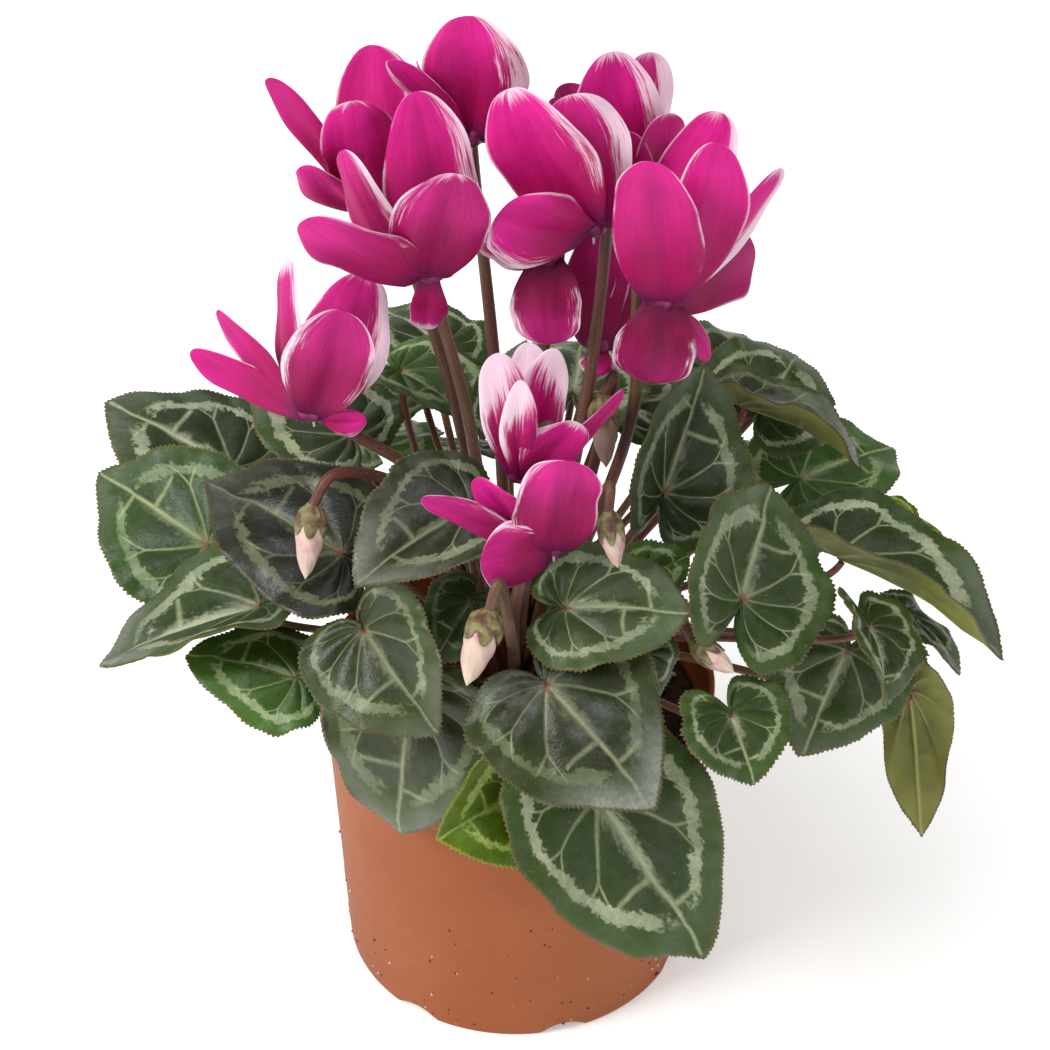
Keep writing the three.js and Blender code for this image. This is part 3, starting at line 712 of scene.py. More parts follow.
LEAVES = [
    Leaf("front_low_right", (21, -72, 113), (50, -80, 63), 0.86, 0.42,
        tone=Tone.DARK, film=0, lightness=1.05),
    Leaf("front_mid", (8, -66, 146), (35, -88, 124), 1.12, 0.22, (-4, -8), 0, 1.4,
        tone=Tone.GREY, silver=0.6, film=0.9, lightness=0.7),
    Leaf("front_low_bright", (3, -66, 111), (-20, -80, 106), 1.35, 0.3, (5, 45), 0, 1, 0.04,
        Tone.BRIGHT, film=0, lightness=0.85),
    Leaf("front_low_left", (-27, -46, 126), (-31, -56, 84), 1.15, 0.12, (2, 2),
        tone=Tone.GREY, silver=0.7, film=0.3, lightness=0.95),
    Leaf("front_left_folded", (-39, -44, 146), (-19, -66, 129), 1.15, 0.15, (36, -4), 0, 1.5,
        tone=Tone.GREY, lightness=0.85),
    Leaf("left_low", (-58, -34, 121), (-89, -26, 123), 0.95, 0.2, (-35, 0), 35, tone=Tone.MID, film=0),
    Leaf("left_long", (-68, -20, 134), (-112, -22, 114), 1, 0.2, (38, 0), 0, 1.5, tone=Tone.DARK, film=0.5),
    Leaf("left_mid", (-84, 8, 133), (-116, 34, 138), 1.05, 0.42, tone=Tone.MID, silver=0.6, lightness=0.6),
    Leaf("left_back", (-80, 40, 135), (-117, 62, 141), 1, 0.42, tone=Tone.DARK, silver=0.9, lightness=0.62),
    Leaf("left_inner_back", (-45, 20, 161), (-72, 44, 161), 1, 0.2,
        tone=Tone.DARK, silver=0.9, lightness=0.8),
    Leaf("left_inner", (-45, -24, 155), (-83, 4, 158), 0.82, 0.15, (2, 2),
        tone=Tone.OLIVE, silver=0.9, film=0.15, lightness=0.45),
    Leaf("centre_large", (-12, -24, 170), (-41, -48, 162), 0.96, 0.3, (14, 30),
        tone=Tone.GREY, silver=1.1, film=0.6, lightness=0.55),
    Leaf("centre_curled", (-31, 28, 177), (-13, 14, 172), 1.1, 0.4, (18, 18), 0, 1,
        tone=Tone.MID, silver=1.1),
    Leaf("back_left_top", (-21, 52, 169), (-40, 74, 167), 1.1, 0.4, tone=Tone.DARK),
    Leaf("centre_back", (-4, 36, 158), (3, 60, 164), 0.7, 0.4, tone=Tone.DARK),
    Leaf("right_upright", (39, -12, 166), (50, 16, 187), 1.1, 0.42, (55, 4),
        tone=Tone.DARK, silver=0.6, lightness=0.7),
    Leaf("right_front_large", (58, -44, 156), (65, -16, 172), 1.4, 0.6, (30, 4),
        tone=Tone.DARK, silver=0.7),
    Leaf("front_upper", (13, -50, 158), (46, -54, 160), 1, 0.28, tone=Tone.DARK, silver=0.75),
    Leaf("front_cupped", (33, -32, 153), (46, -26, 156), 1.2, 0.4, (25, 25), 0, 1, tone=Tone.MID, film=0),
    Leaf("front_heart", (55, -64, 134), (61, -76, 121), 1.7, 0.6, (6, 6), 0, 1,
        tone=Tone.DARK, film=0, lightness=1.15, silver=0.8),
    Leaf("right_low", (89, -24, 122), (76, -38, 98), 1.25, 0.2, roll=42, wave=1.6,
        tone=Tone.DARK, silver=0.8),
    Leaf("right_heart", (92, -38, 142), (97, -54, 129), 1.6, 0.6, (8, 24), 0, 1,
        tone=Tone.DARK, silver=0.9),
    Leaf("right_long", (87, -6, 140), (131, -26, 121), 0.86, 0.36, (35, 40),
        tone=Tone.DARK, silver=1.15, film=0.4, lightness=0.9),
    Leaf("right_back", (80, 39, 132), (110, 64, 125), 0.9, 0.4, tone=Tone.MID, silver=0.8),
    Leaf("back_right_top", (67, 34, 160), (80, 62, 160), 1.2, 0.4, tone=Tone.DARK, film=0.5),
    Leaf("right_folded", (61, 22, 170), (94, 8, 160), 0.7, 0.4, (40, 40),
        tone=Tone.GREY, silver=0.6, film=1),
    Leaf("back_right_pale", (55, 50, 160), (66, 76, 157), 1.1, 0.4, tone=Tone.GREY, film=0.8),
    Leaf("right_bright_edge", (102, 26, 133), (118, 18, 126), 0.8, 0.4, (20, 20), 0, 1,
        tone=Tone.BRIGHT, film=0),
    Leaf("right_under", (106, -4, 119), (123, -12, 104), 0.8, 0.3, wave=1, tone=Tone.DARK),
    Leaf("right_hanging", (109, -10, 96), (114, -20, 48), 0.42, 0.2, roll=-75, wave=2,
        tone=Tone.OLIVE, silver=0.3),
    Leaf("front_shaded_right", (34, -49, 142), (38, -52, 130), 1.3, 0.3, wave=0.8, tone=Tone.DARK),
    Leaf("front_shaded_left", (-11, -36, 149), (-21, -46, 136), 1.1, 0.3, wave=0.8,
        tone=Tone.DARK, silver=0.3),
    Leaf("front_gap", (-10, -44, 125), (-18, -54, 112), 1, 0.4, wave=0.8, tone=Tone.DARK, silver=0.4),
    Leaf("back_left_low", (-44, 66, 122), (-74, 96, 98), 1, 0.4, wave=1.4),
    Leaf("back_mid_low", (-4, 74, 118), (-8, 106, 90), 1.1, 0.4, wave=1.4, tone=Tone.DARK),
    Leaf("back_right_low", (48, 66, 126), (76, 96, 100), 1.1, 0.25, wave=1.4),
    Leaf("back_mid_high", (16, 50, 154), (20, 88, 146), 1, 0.4, wave=1.4, tone=Tone.DARK),
    Leaf("back_left_inner", (-26, 62, 146), (-38, 98, 132), 1, 0.3, wave=1.4),
    Leaf("back_right_inner", (28, 68, 145), (38, 104, 131), 1, 0.3, wave=1.4, tone=Tone.DARK),
]


@dataclass
class Foliage:
    """Every blade, as a heart-shaped sheet on rings round the stalk's joint."""

    leaves: list[Leaf]
    tooth_pitch: float = 1.3
    tooth_depth: float = 0.32
    tooth_start: float = 0.93
    least_teeth: int = 24
    half_thickness: float = 0.34
    rings: int = 15
    side_reach: float = 0.5
    taper: float = 4.0
    cleft_depth: float = 0.9
    cleft_width: float = 0.085
    plan_wave: float = 0.016
    plan_waves: Span = (7, 11)
    margin_waves: int = 5
    flutter_waves: int = 13
    flutter: float = 0.3
    fold_round: float = 1.4
    pucker: float = 0.85
    groove: float = 0.6
    groove_width: float = 1.4
    crumple: float = 0.55
    crumple_lengths: Span = (17, 6)
    finishes: dict[Tone, list[Material]] = field(default_factory=dict)

    def dress(self) -> None:
        """Makes the upper and the lower finish of every tone."""
        for tone, finish in LEAF_FINISHES.items():
            self.finishes[tone] = [finish.upper(), finish.lower()]

    def reach(self, angle: Array, lobes: float) -> Array:
        """Reach of the margin from the stalk as a share of the midrib.

        With t the angle as a share of a half turn and b = max(0, 2t - 1), the body is
        s + (1 - s)(1 - t)^4 - (s - lobes) b^2 (3 - 2b), where s is the reach at the sides. It is cut
        by the cleft's bell, 1 - depth exp(-((1 - t) / width)^2).

        Args:
            angle: Angles from the midrib in radians.
            lobes: Reach of the back lobes.

        Returns:
            The reach at each angle.
        """
        turn = np.abs(angle) / np.pi
        front = self.side_reach + (1 - self.side_reach) * (1 - turn) ** self.taper
        body = front - (self.side_reach - lobes) * smooth(2 * turn - 1)
        return body * (1 - self.cleft_depth * np.exp(-(((1 - turn) / self.cleft_width) ** 2)))

    def angles(self, leaf: Leaf, length: float) -> Array:
        """Angles of the margin's points, at an even spacing along the margin.

        Args:
            leaf: The blade's row.
            length: The midrib's length in mm.

        Returns:
            The angles, two for each tooth and the first one again at the end.
        """
        fine = np.linspace(-np.pi, np.pi, 2001)
        reach = self.reach(fine, leaf.lobes) * length
        margin = stack(reach * np.cos(fine), reach * np.sin(fine) * leaf.breadth)
        travelled = np.concatenate([[0], np.cumsum(np.linalg.norm(np.diff(margin, axis=0), axis=1))])
        teeth = max(self.least_teeth, round(travelled[-1] / self.tooth_pitch))
        return np.interp(np.linspace(0, travelled[-1], 2 * teeth + 1), travelled, fine)

    def relief(self, angle: Array, share: Array, y: Array) -> Array:
        """The rise of the surface, up between the veins by a sine and down along the midrib by a bell.

        Args:
            angle: Angles from the midrib in radians.
            share: Shares of the way out.
            y: Distances from the midrib in mm.

        Returns:
            The rise in mm.
        """
        lead = np.abs(angle) / np.pi / (1 - VEIN_LEAN * share)
        gap = np.abs((lead + VEIN_SPACING / 2) % VEIN_SPACING - VEIN_SPACING / 2)
        pucker = self.pucker * np.sin(np.pi * gap / VEIN_SPACING) * 4 * share * (1 - share)
        crease = np.exp(-((y / self.groove_width) ** 2)) * smooth((0.5 - np.abs(angle) / np.pi) * 8)
        return pucker - self.groove * crease * (1 - share)

    def blade(self, leaf: Leaf, seed: int) -> list[Surface]:
        """Works out one blade.

        A point lies x = L r s cos a along the midrib and y = L r s sin a b to its left, with r the
        margin's reach, s the share of the way out and b the breadth. Each half is folded by its
        angle, the midrib is bowed by 4 w L u (1 - u) with u = x / L, and the margin waves by
        sin 5a s^3.

        Args:
            leaf: The blade's row.
            seed: Seed of its crumples.

        Returns:
            The upper and the lower face.
        """
        along, left, out, length = leaf.axes()
        angle = self.angles(leaf, length)
        share = np.concatenate([np.linspace(0, 0.95, self.rings), [0.985, 1.0]])[:, None]
        draw = np.random.default_rng(seed)
        teeth = np.where(np.arange(len(angle)) % 2, 1.0, -1.0) * self.tooth_depth
        teeth = teeth * draw.uniform(0.3, 1.5, len(angle))
        teeth[[0, -1]] = 0
        slow, quick = self.plan_waves
        notches = np.sin(slow * angle + seed) + 0.7 * np.sin(quick * angle + 2 * seed)
        outline = self.reach(angle, leaf.lobes) * (1 + self.plan_wave * notches * share**3)
        radius = length * outline * share + teeth * smooth((share - self.tooth_start) / 0.07)
        x = radius * np.cos(angle)
        y = radius * np.sin(angle) * leaf.breadth
        fold = np.radians(np.where(y > 0, leaf.fold[0], leaf.fold[1]))
        spread = np.sqrt(y * y + self.fold_round**2) - self.fold_round
        u = x / length
        rise = 4 * leaf.bow * length * u * (1 - u) + spread * np.sin(fold)
        rise = rise + leaf.wave * share**3 * np.sin(self.margin_waves * angle + leaf.joint[0])
        rise = rise + self.flutter * leaf.wave * share**6 * np.sin(self.flutter_waves * angle + 2.0 * seed)
        rise = rise + self.relief(angle, share, y)
        flat = stack(x, y, 0.0)
        broad, fine = self.crumple_lengths
        crumples = ripple(flat, broad, seed) + 0.35 * ripple(flat, fine, seed + 99)
        rise = rise + self.crumple * share * crumples
        middle = x[..., None] * along + (y * np.cos(fold))[..., None] * left + rise[..., None] * out
        half = self.half_thickness * np.sqrt(np.maximum(0, 1 - share**60)) * np.ones_like(x)
        # the silver markings and the painted gloss and painted light that the blade's points carry
        marks_and_painted_light = {name: getattr(leaf, name) for name in ("silver", "film", "band", "lightness")}
        uv = stack(share, angle / (2 * np.pi) + 0.5)
        return closed_sheet(vec(leaf.joint) + middle, half, out, uv, 1, phase=3.7 * seed, **marks_and_painted_light)

    def build(self) -> None:
        """Makes one piece for each blade."""
        for seed, leaf in enumerate(self.leaves):
            finishes = self.finishes[leaf.tone]
            make_piece(f"blade_{leaf.name}", [f"leaf_{leaf.name}"], self.blade(leaf, seed), finishes)


@dataclass(frozen=True)
class PetalFinish:
    """The colours of the petals, as display colours."""

    claw: Colour = (90, 8, 72)
    body: Colour = (156, 4, 82)
    tip: Colour = (208, 30, 136)
    # colour of the painted shade on petals turned away from the light
    deep: Colour = (100, 4, 44)
    pale: Colour = (238, 212, 226)

    def make(self) -> Material:
        """Makes the petals' material.

        Returns:
            A material that runs from the purple claw to the pink tip, with fine lengthwise streaks,
            and pale where the mesh's own value and the streaks together pass a half.
        """
        graph = Graph("petal")
        share, across = graph.surface()
        place = graph.place()
        phase = graph.carried("phase")
        streaks = graph.drawn(across * 22.0, share * 3.0, phase, 6, 0.65)
        fine = graph.drawn(across * 80.0, share * 5.0, phase, 3, 0.6)
        soft = graph.drawn(across * 7.0, share * 1.6, phase, 3, 0.6)
        broad = graph.noise(place, 65, 3)
        colour = graph.between(share.step(0.0, 0.3), self.claw, self.body)
        colour = colour.toward(share.step(0.3, 1.0) * (broad * 1.2 + 0.3), self.tip)
        # Painted shade: a petal is darkened towards a dark purple by an amount of its own, standing in for
        # shade
        colour = colour.toward(graph.carried("deep"), self.deep)
        own = graph.math("SINE", phase * 7.0) * 0.1 + 0.08
        colour = colour.lighten(soft * 0.6 + (streaks * 0.6 + fine * 0.4) + (broad * 0.3 + own))
        rim = abs(across * 2.0 - 1.0).step(0.93, 0.98) * share.step(0.3, 0.55)
        rim = rim * graph.noise(place, 110, 3).step(0.34, 0.56)
        colour = colour.toward(rim * 0.6, self.pale)
        pale = graph.carried("pale")
        brush = soft * 0.9 + (streaks + (fine - 1.45))
        pale = (pale + brush).step(0.36, 0.74) * pale.step(0.02, 0.2)
        colour = colour.toward(pale * 0.92, self.pale)
        graph.relief(fine * 0.8 + graph.noise(place, 1400, 2) * 0.4, 0.0003, 0.6)
        graph.set(Base_Color=colour, Roughness=fine * 0.2 + 0.42, Specular_IOR_Level=0.22)
        graph.set(Subsurface_Weight=0.12, Subsurface_Scale=0.001, Subsurface_Radius=(1.0, 0.3, 0.6))
        return graph.material


@dataclass(frozen=True)
class Petal:
    """One petal: its tip from the nose, its width, facing and bulge, its claw and peak, its pale parts."""

    reach: Point
    width: float
    facing: float
    bulge: float
    claw: float
    peak: float
    pale: tuple[float, float, float] = (0.0, 0.0, 0.0)
    # amount of painted shade
    deep: float = 0.0
    twist: float = 0.0
    curl: float = 0.0


@dataclass(frozen=True)
class Bloom:
    """One bloom: its nose, the side of its stalk's hook, a bend of the stalk, and its petals."""

    name: str
    nose: Point
    side: float
    bend: Point
    petals: tuple[Petal, ...]


BLOOMS = [
    Bloom("left", (-52, -8, 189), 60, (-22, -4, 162), (
        Petal((-32, 10, 12), 11, 250, -0.12, 0.6, 0.5),
        Petal((-25, 16, 21), 9, 245, 0.05, 0.5, 0.5, (0.1, 0, 0)),
        Petal((-6, 20, 34), 14, 222, 0.1, 0.4, 0.5, (0, 0.2, 0.08)),
        Petal((14, 12, 35), 24, 285, 0.12, 0.45, 0.5, (0, 0.2, 0.02)),
        Petal((9, -8, 37), 22, 262, 0.12, 0.55, 0.6, (0.08, 0.02, 0), deep=0.25),
        Petal((14, -6, 2), 8, 300, 0.2, 0.5, 0.5, (0, 0.1, 0)),
    )),
    Bloom("upper_left_back", (-36, 18, 235), 0, (-16, 12, 178), (
        Petal((-25, -4, 40), 10, 240, -0.08, 0.7, 0.5),
        Petal((0, 20, 36), 22, 90, 0.05, 0.6, 0.5, (0.12, 0, 0)),
        Petal((-4, -10, 37), 21, 270, 0.1, 0.55, 0.62, (0, 0, 0.02)),
        Petal((-16, -14, 21), 15, 240, 0.12, 0.6, 0.5),
    )),
    Bloom("upper_left_front", (-21, -6, 230), 90, (-12, -2, 182), (
        Petal((-3, 10, 47), 24, 290, 0.1, 0.6, 0.5, (0, 0.14, 0)),
        Petal((-21, 4, 34), 16, 240, 0.1, 0.6, 0.5, (0, 0.2, 0)),
        Petal((-30, -12, 24), 22, 245, 0.12, 0.6, 0.62, (0, 0.05, 0)),
        Petal((7, -12, 37), 22, 280, 0.12, 0.55, 0.64, (0.05, 0, 0.02), deep=0.25),
        Petal((-2, 4, -19), 10, 270, 0.1, 0.7, 0.5, (0, 0, 0.15)),
    )),
    Bloom("top", (-11, 22, 253), 90, (-5, 14, 184), (
        Petal((0, 0, 35), 25, 270, 0.1, 0.5, 0.5, (0, 0.17, 0)),
        Petal((-20, -8, 27), 9, 250, -0.05, 0.6, 0.5, (0.1, 0, 0)),
        Petal((12, 12, 16), 16, 330, 0.1, 0.5, 0.5),
        Petal((-14, 18, 12), 12, 160, 0.1, 0.5, 0.5),
    )),
    Bloom("upper_centre", (20, 0, 240), 60, (18, -3, 185), (
        Petal((-21, 2, 39), 25, 255, 0.1, 0.7, 0.56, (0, 0.08, 0.05)),
        Petal((-6, 6, 35), 22, 285, 0.1, 0.55, 0.58, (0, 0.2, 0.02)),
        Petal((-24, -14, 13), 25, 255, 0.12, 0.6, 0.68, (0.1, 0, 0)),
        Petal((-10, 20, 26), 18, 150, 0.1, 0.5, 0.5),
    )),
    Bloom("upper_right_back", (35, 22, 233), 60, (22, 22, 185), (
        Petal((-11, 0, 45), 22, 265, 0.1, 0.6, 0.5, (0, 0.16, 0.03)),
        Petal((-1, 14, 37), 20, 120, 0.1, 0.36, 0.5, (0.25, 0, 0.02)),
        Petal((-23, 8, 31), 22, 255, 0.1, 0.6, 0.5, deep=0.3),
        Petal((3, -8, 32), 16, 285, 0.1, 0.6, 0.5, (0, 0, 0.02)),
        Petal((-9, -10, 28), 18, 250, 0.1, 0.6, 0.5, (0, 0, 0.02)),
    )),
    Bloom("upper_right_front", (37, -10, 225), 150, (30, -2, 180), (
        Petal((-4, -14, 49), 21, 262, 0.12, 0.65, 0.72, deep=0.15),
        Petal((12, -2, 47), 20, 285, 0.12, 0.55, 0.5, (0.04, 0, 0)),
        Petal((29, 6, 35), 12, 300, 0.12, 0.6, 0.5, (0, 0.25, 0.06)),
        Petal((14, 16, 45), 22, 65, 0.08, 0.36, 0.5, (0.15, 0, 0.02)),
        Petal((23, 10, 11), 22, 285, 0.15, 0.7, 0.66, deep=0.5),
        Petal((-2, -6, -21), 22, 270, 0.15, 0.75, 0.66, (0.01, 0.01, 0), deep=0.6),
        Petal((13, 8, -24), 6, 300, 0.1, 0.6, 0.5),
    )),
    Bloom("centre_small", (8, 8, 226), 60, (5, 4, 180), (
        Petal((2, -14, -17), 20, 270, 0.15, 0.75, 0.66, (0.05, 0.03, 0), deep=0.3),
        Petal((-17, -2, 7), 11, 240, 0.1, 0.6, 0.5, (0.2, 0, 0.1)),
        Petal((-7, 12, 2), 12, 150, 0.1, 0.5, 0.5),
    )),
    Bloom("front_upper", (2, -31, 186), 0, (3, -36, 156), (
        Petal((-7, 1, 36), 14, 250, 0.1, 0.5, 0.5, (0.1, 0.02, 0.3), twist=30, curl=0.2),
        Petal((2, 11, 33), 13, 90, 0.05, 0.5, 0.5, (0.1, 0.1, 0.42), twist=-20),
        Petal((0, -7, 33), 9, 280, 0.1, 0.5, 0.5, (0.15, 0.02, 0.32), twist=-25, curl=0.3),
        Petal((8, 7, 34), 12, 60, 0.05, 0.45, 0.5, (0.04, 0.16, 0.3), twist=25),
        Petal((14, -5, 20), 15, 285, 0.12, 0.5, 0.5, (0.04, 0, 0.06)),
        Petal((25, -1, 27), 8, 310, 0.05, 0.45, 0.5),
    )),
    Bloom("front_lower", (10, -44, 173), 130, (1, -42, 157), (
        Petal((3, -12, 36), 22, 275, 0.1, 0.55, 0.68, (0.02, 0, 0), deep=0.25),
        Petal((-33, -2, 17), 10, 245, -0.1, 0.65, 0.5, (0, 0.04, 0)),
        Petal((-18, -9, 5), 21, 265, 0.15, 0.6, 0.66, (0, 0.04, 0), deep=0.3),
        Petal((-20, 6, 17), 13, 230, 0.1, 0.5, 0.5),
    )),
    Bloom("right_shaded", (22, 10, 198), 90, (14, 8, 160), (
        Petal((1, 8, 31), 17, 262, 0.13, 0.6, 0.5, deep=0.3),
        Petal((11, 8, 25), 14, 285, 0.1, 0.6, 0.5, deep=0.5),
        Petal((-1, -6, -6), 9, 270, 0.1, 0.7, 0.5, (0.1, 0.1, 0)),
        Petal((-10, 14, 14), 12, 200, 0.1, 0.6, 0.5, deep=0.4),
    )),
]


def edge_wave(across: Array, share: Array, waves: float, phases: Array) -> Array:
    """A sine of the share, with a phase of its own on each side of the middle."""
    return np.where(across > 0, np.sin(waves * share + phases[0]), np.sin(waves * share + phases[1]))


@dataclass
class Flowers:
    """Every bloom: petals swept up from the nose of a short ribbed cup."""

    blooms: list[Bloom]
    rows: int = 34
    columns: int = 21
    half_thickness: float = 0.3
    root: float = 3.4
    flare_end: float = 0.5
    tip_rounding: float = 0.46
    cupping: float = 0.035
    ruffle: float = 0.1
    flattening: float = 0.5
    fold: float = 0.035
    groove: float = 0.02
    groove_width: float = 0.16
    notch: float = 0.03
    swell_waves: float = 5
    ruffle_waves: float = 9
    notch_waves: float = 17
    fold_waves: float = 5
    sway: float = 0.05
    lean: float = 12.0
    wander: float = 0.09
    turn_in: float = 0.1
    shoulder: float = 0.32
    tuck: float = 3.0
    tuck_end: float = 0.3
    disc_peak: float = 0.46
    feather: float = 0.8
    slant: float = 0.14
    cup_radius: float = 4.2
    cup_height: float = 8.0
    cup_ribs: int = 5
    rib_rise: float = 0.09
    style_length: float = 3.0
    style_radii: Span = (0.5, 0.28)
    finishes: list[Material] = field(default_factory=list)

    def dress(self) -> None:
        """Makes the petals' and the cup's finishes."""
        graph = Graph("cup")
        mottle = graph.noise(graph.place(), 500, 3)
        graph.relief(mottle, 0.0003, 0.6)
        colour = graph.between(mottle.step(0.3, 0.7), (84, 14, 58), (142, 30, 96))
        graph.set(Base_Color=colour, Roughness=0.5)
        self.finishes = [PetalFinish().make(), graph.material]

    def width(self, share: Array, claw: float, peak: float) -> Array:
        """Width along a petal: a narrower claw that flares by a smooth step, and a round tip.

        It is (c + (1 - c) step(s / flare end)) (1 - t^2)^0.46, with c the claw's share and
        t = (s - peak) / (1 - peak) where that is above 0. A wide claw's own corners are rounded.

        Args:
            share: Shares of the way from the claw to the tip.
            claw: Width of the claw as a share of the widest.
            peak: Share at which the tip starts to narrow.

        Returns:
            The width at each share, 1 at most.
        """
        flare = claw + (1 - claw) * smooth(share / self.flare_end)
        taper = np.maximum(0, share - peak) / (1 - peak)
        corner = np.maximum(0, 1 - share / self.shoulder)
        flare = flare * (1 - min(1, 1.3 * claw) * (1 - np.sqrt(1 - corner * corner)))
        return flare * np.maximum(0, 1 - taper * taper) ** self.tip_rounding

    def petal(self, nose: Array, petal: Petal, seed: int) -> list[Surface]:
        """Works out one petal.

        Its middle line runs from the cup's side to the tip and bulges by 4 b L s (1 - s). Across it
        the sheet is cupped by the square of the distance from the middle, its two edges wander and
        ruffle as sines of the share, and it twists about its own length. Its first tenth turns in
        towards the nose over a quarter circle. A hanging petal is a rounder disc that starts tucked
        up behind the rest.

        Args:
            nose: The bloom's nose in mm.
            petal: The petal's row.
            seed: Seed of its ruffle and its sway.

        Returns:
            The two faces.
        """
        draw = np.random.default_rng(seed)
        out = level(petal.facing)
        start = nose + out * self.root
        along = nose + vec(petal.reach) - start
        length = float(np.linalg.norm(along))
        along = along / length
        out = unit(out - along * np.dot(out, along))
        left = np.cross(out, along)
        share = ((1 - np.cos(np.linspace(0, np.pi, self.rows))) / 2)[:, None]
        across = np.linspace(-1, 1, self.columns)[None]
        hangs = petal.reach[2] < 0
        wide = self.width(share, petal.claw, min(petal.peak, self.disc_peak) if hangs else petal.peak)
        phase = draw.uniform(0, 2 * np.pi, 4)
        swell = self.wander * edge_wave(across, share, self.swell_waves, phase[:2])
        nicks = self.notch * edge_wave(across, share, self.notch_waves, phase[2:]) * share
        aside = across * wide * petal.width / 2 * (1 + swell + nicks)
        turn = np.radians(petal.twist + draw.uniform(-self.lean, self.lean)) * share
        sway = draw.uniform(-self.sway, self.sway) * length * np.sin(np.pi * share)
        off = across * wide
        arch = np.sin(np.pi * share)
        lift = self.ruffle * edge_wave(across, share, self.ruffle_waves, phase[2:]) * off**2 * share
        lift = lift - self.cupping * off**2 * share
        lift = lift - self.groove * np.exp(-((off / self.groove_width) ** 2)) * arch
        lift = petal.width * (lift + self.fold * np.sin(self.fold_waves * off + phase[0]) * arch)
        lift = lift + self.flattening * petal.bulge * length * 4 * share * (1 - share)
        lift = lift - petal.curl * length * np.maximum(0, share - 0.6) ** 2
        inward = np.maximum(0, 1 - share / self.turn_in) * np.pi / 2
        bend = self.turn_in * length
        tuck = self.tuck * np.maximum(0, 1 - share / self.tuck_end) ** 2 * hangs
        lift = lift - bend * (1 - np.cos(inward)) - 0.7 * tuck
        height = np.where(share < self.turn_in, bend * (1 - np.sin(inward)), length * share) - tuck
        middle = start + height[..., None] * along + (sway + aside * np.cos(turn))[..., None] * left
        middle = middle + (lift + aside * np.sin(turn))[..., None] * out
        edge = np.sqrt(np.maximum(0, 1 - across**10)) * np.sqrt(np.maximum(0, 1 - share**20))
        half = self.half_thickness * edge * np.minimum(1, share / 0.04)
        pale = self.paleness(petal, share, across)
        uv = stack(share, across / 2 + 0.5)
        return closed_sheet(middle, half, out, uv, 0, pale=pale, deep=petal.deep, phase=5.3 * seed)

    def paleness(self, petal: Petal, share: Array, across: Array) -> Array:
        """How pale a petal is, a half at the inner border of each pale part and 1 well inside it.

        Args:
            petal: The petal's row, with its pale shares from the left, the right and the tip.
            share: Shares of the way along.
            across: Places across, from -1 to 1.

        Returns:
            The larger of the three parts, each 0.5 plus the way past its border over the feather.
        """
        left, right, tip = petal.pale
        from_left = (2 * left - (1 - across)) / self.feather + 0.5 if left else -np.ones_like(across)
        from_right = (2 * right - (1 + across)) / self.feather + 0.5 if right else -np.ones_like(across)
        slant = self.slant * across if tip > 0.2 else 0.0
        from_tip = (tip + slant - (1 - share)) / (0.15 + tip) + 0.5 if tip else -np.ones_like(share)
        sides = np.clip(np.maximum(from_left, from_right), 0, 1) * smooth((share - 0.1) / 0.3)
        return np.maximum(sides, np.clip(from_tip, 0, 1))

    def cup(self, nose: Array) -> list[Surface]:
        """A short cup and a style. The cup is an upright ellipsoid of the radius r (1 + 0.09 cos 5a).

        Args:
            nose: The bloom's nose in mm.

        Returns:
            The two patches.
        """
        turn = circle(40)[None]
        rise = np.linspace(-np.pi / 2, np.pi / 2, 17)[:, None]
        ribs = 1 + self.rib_rise * np.cos(self.cup_ribs * turn)
        radius = self.cup_radius * np.cos(rise) * ribs
        points = stack(radius * np.cos(turn), radius * np.sin(turn), self.cup_height / 2 * np.sin(rise))
        uv = stack(turn / (2 * np.pi), rise / np.pi + 0.5)
        body = grid(points + nose + UP * self.cup_height / 4, uv, 1)
        drop = np.linspace(0, self.style_length, 7)[:, None]
        path = nose - UP * (self.cup_height / 4 - 0.5) - UP * drop
        return [body, tube(path, np.linspace(*self.style_radii, 7), 8, pale=0.8)]

    def build(self) -> None:
        """Makes one piece for each bloom."""
        seed = 0
        for bloom in self.blooms:
            nose = vec(bloom.nose)
            surfaces = self.cup(nose)
            for petal in bloom.petals:
                surfaces += self.petal(nose, petal, seed)
                seed += 1
            make_piece(f"corolla_{bloom.name}", [f"bloom_{bloom.name}"], surfaces, self.finishes)


@dataclass(frozen=True)
class Bud:
    """One bud: a bend of its stalk, the hook's top, where the bud starts, its tip and its radius."""

    name: str
    bend: Point
    hook: Point
    neck: Point
    tip: Point
    radius: float
    faded: float = 0.0


BUDS = [
    Bud("left", (-26, -6, 160), (-47, -25, 181), (-52, -30, 172), (-54, -36, 156), 3.6),
    Bud("front", (-1, -50, 150), (-4, -60, 174), (-7, -64, 165), (-12, -70, 149), 4.2),
    Bud("front_right", (18, -26, 160), (24, -40, 189), (24, -46, 182), (26, -50, 171), 3),
    Bud("right_low", (23, -28, 136), (42, -48, 152), (48, -53, 147), (56, -59, 144), 3),
    Bud("faded", (20, 2, 160), (26, 3, 193), (23, -4, 188), (24, -8, 171), 3.6, 1.0),
]


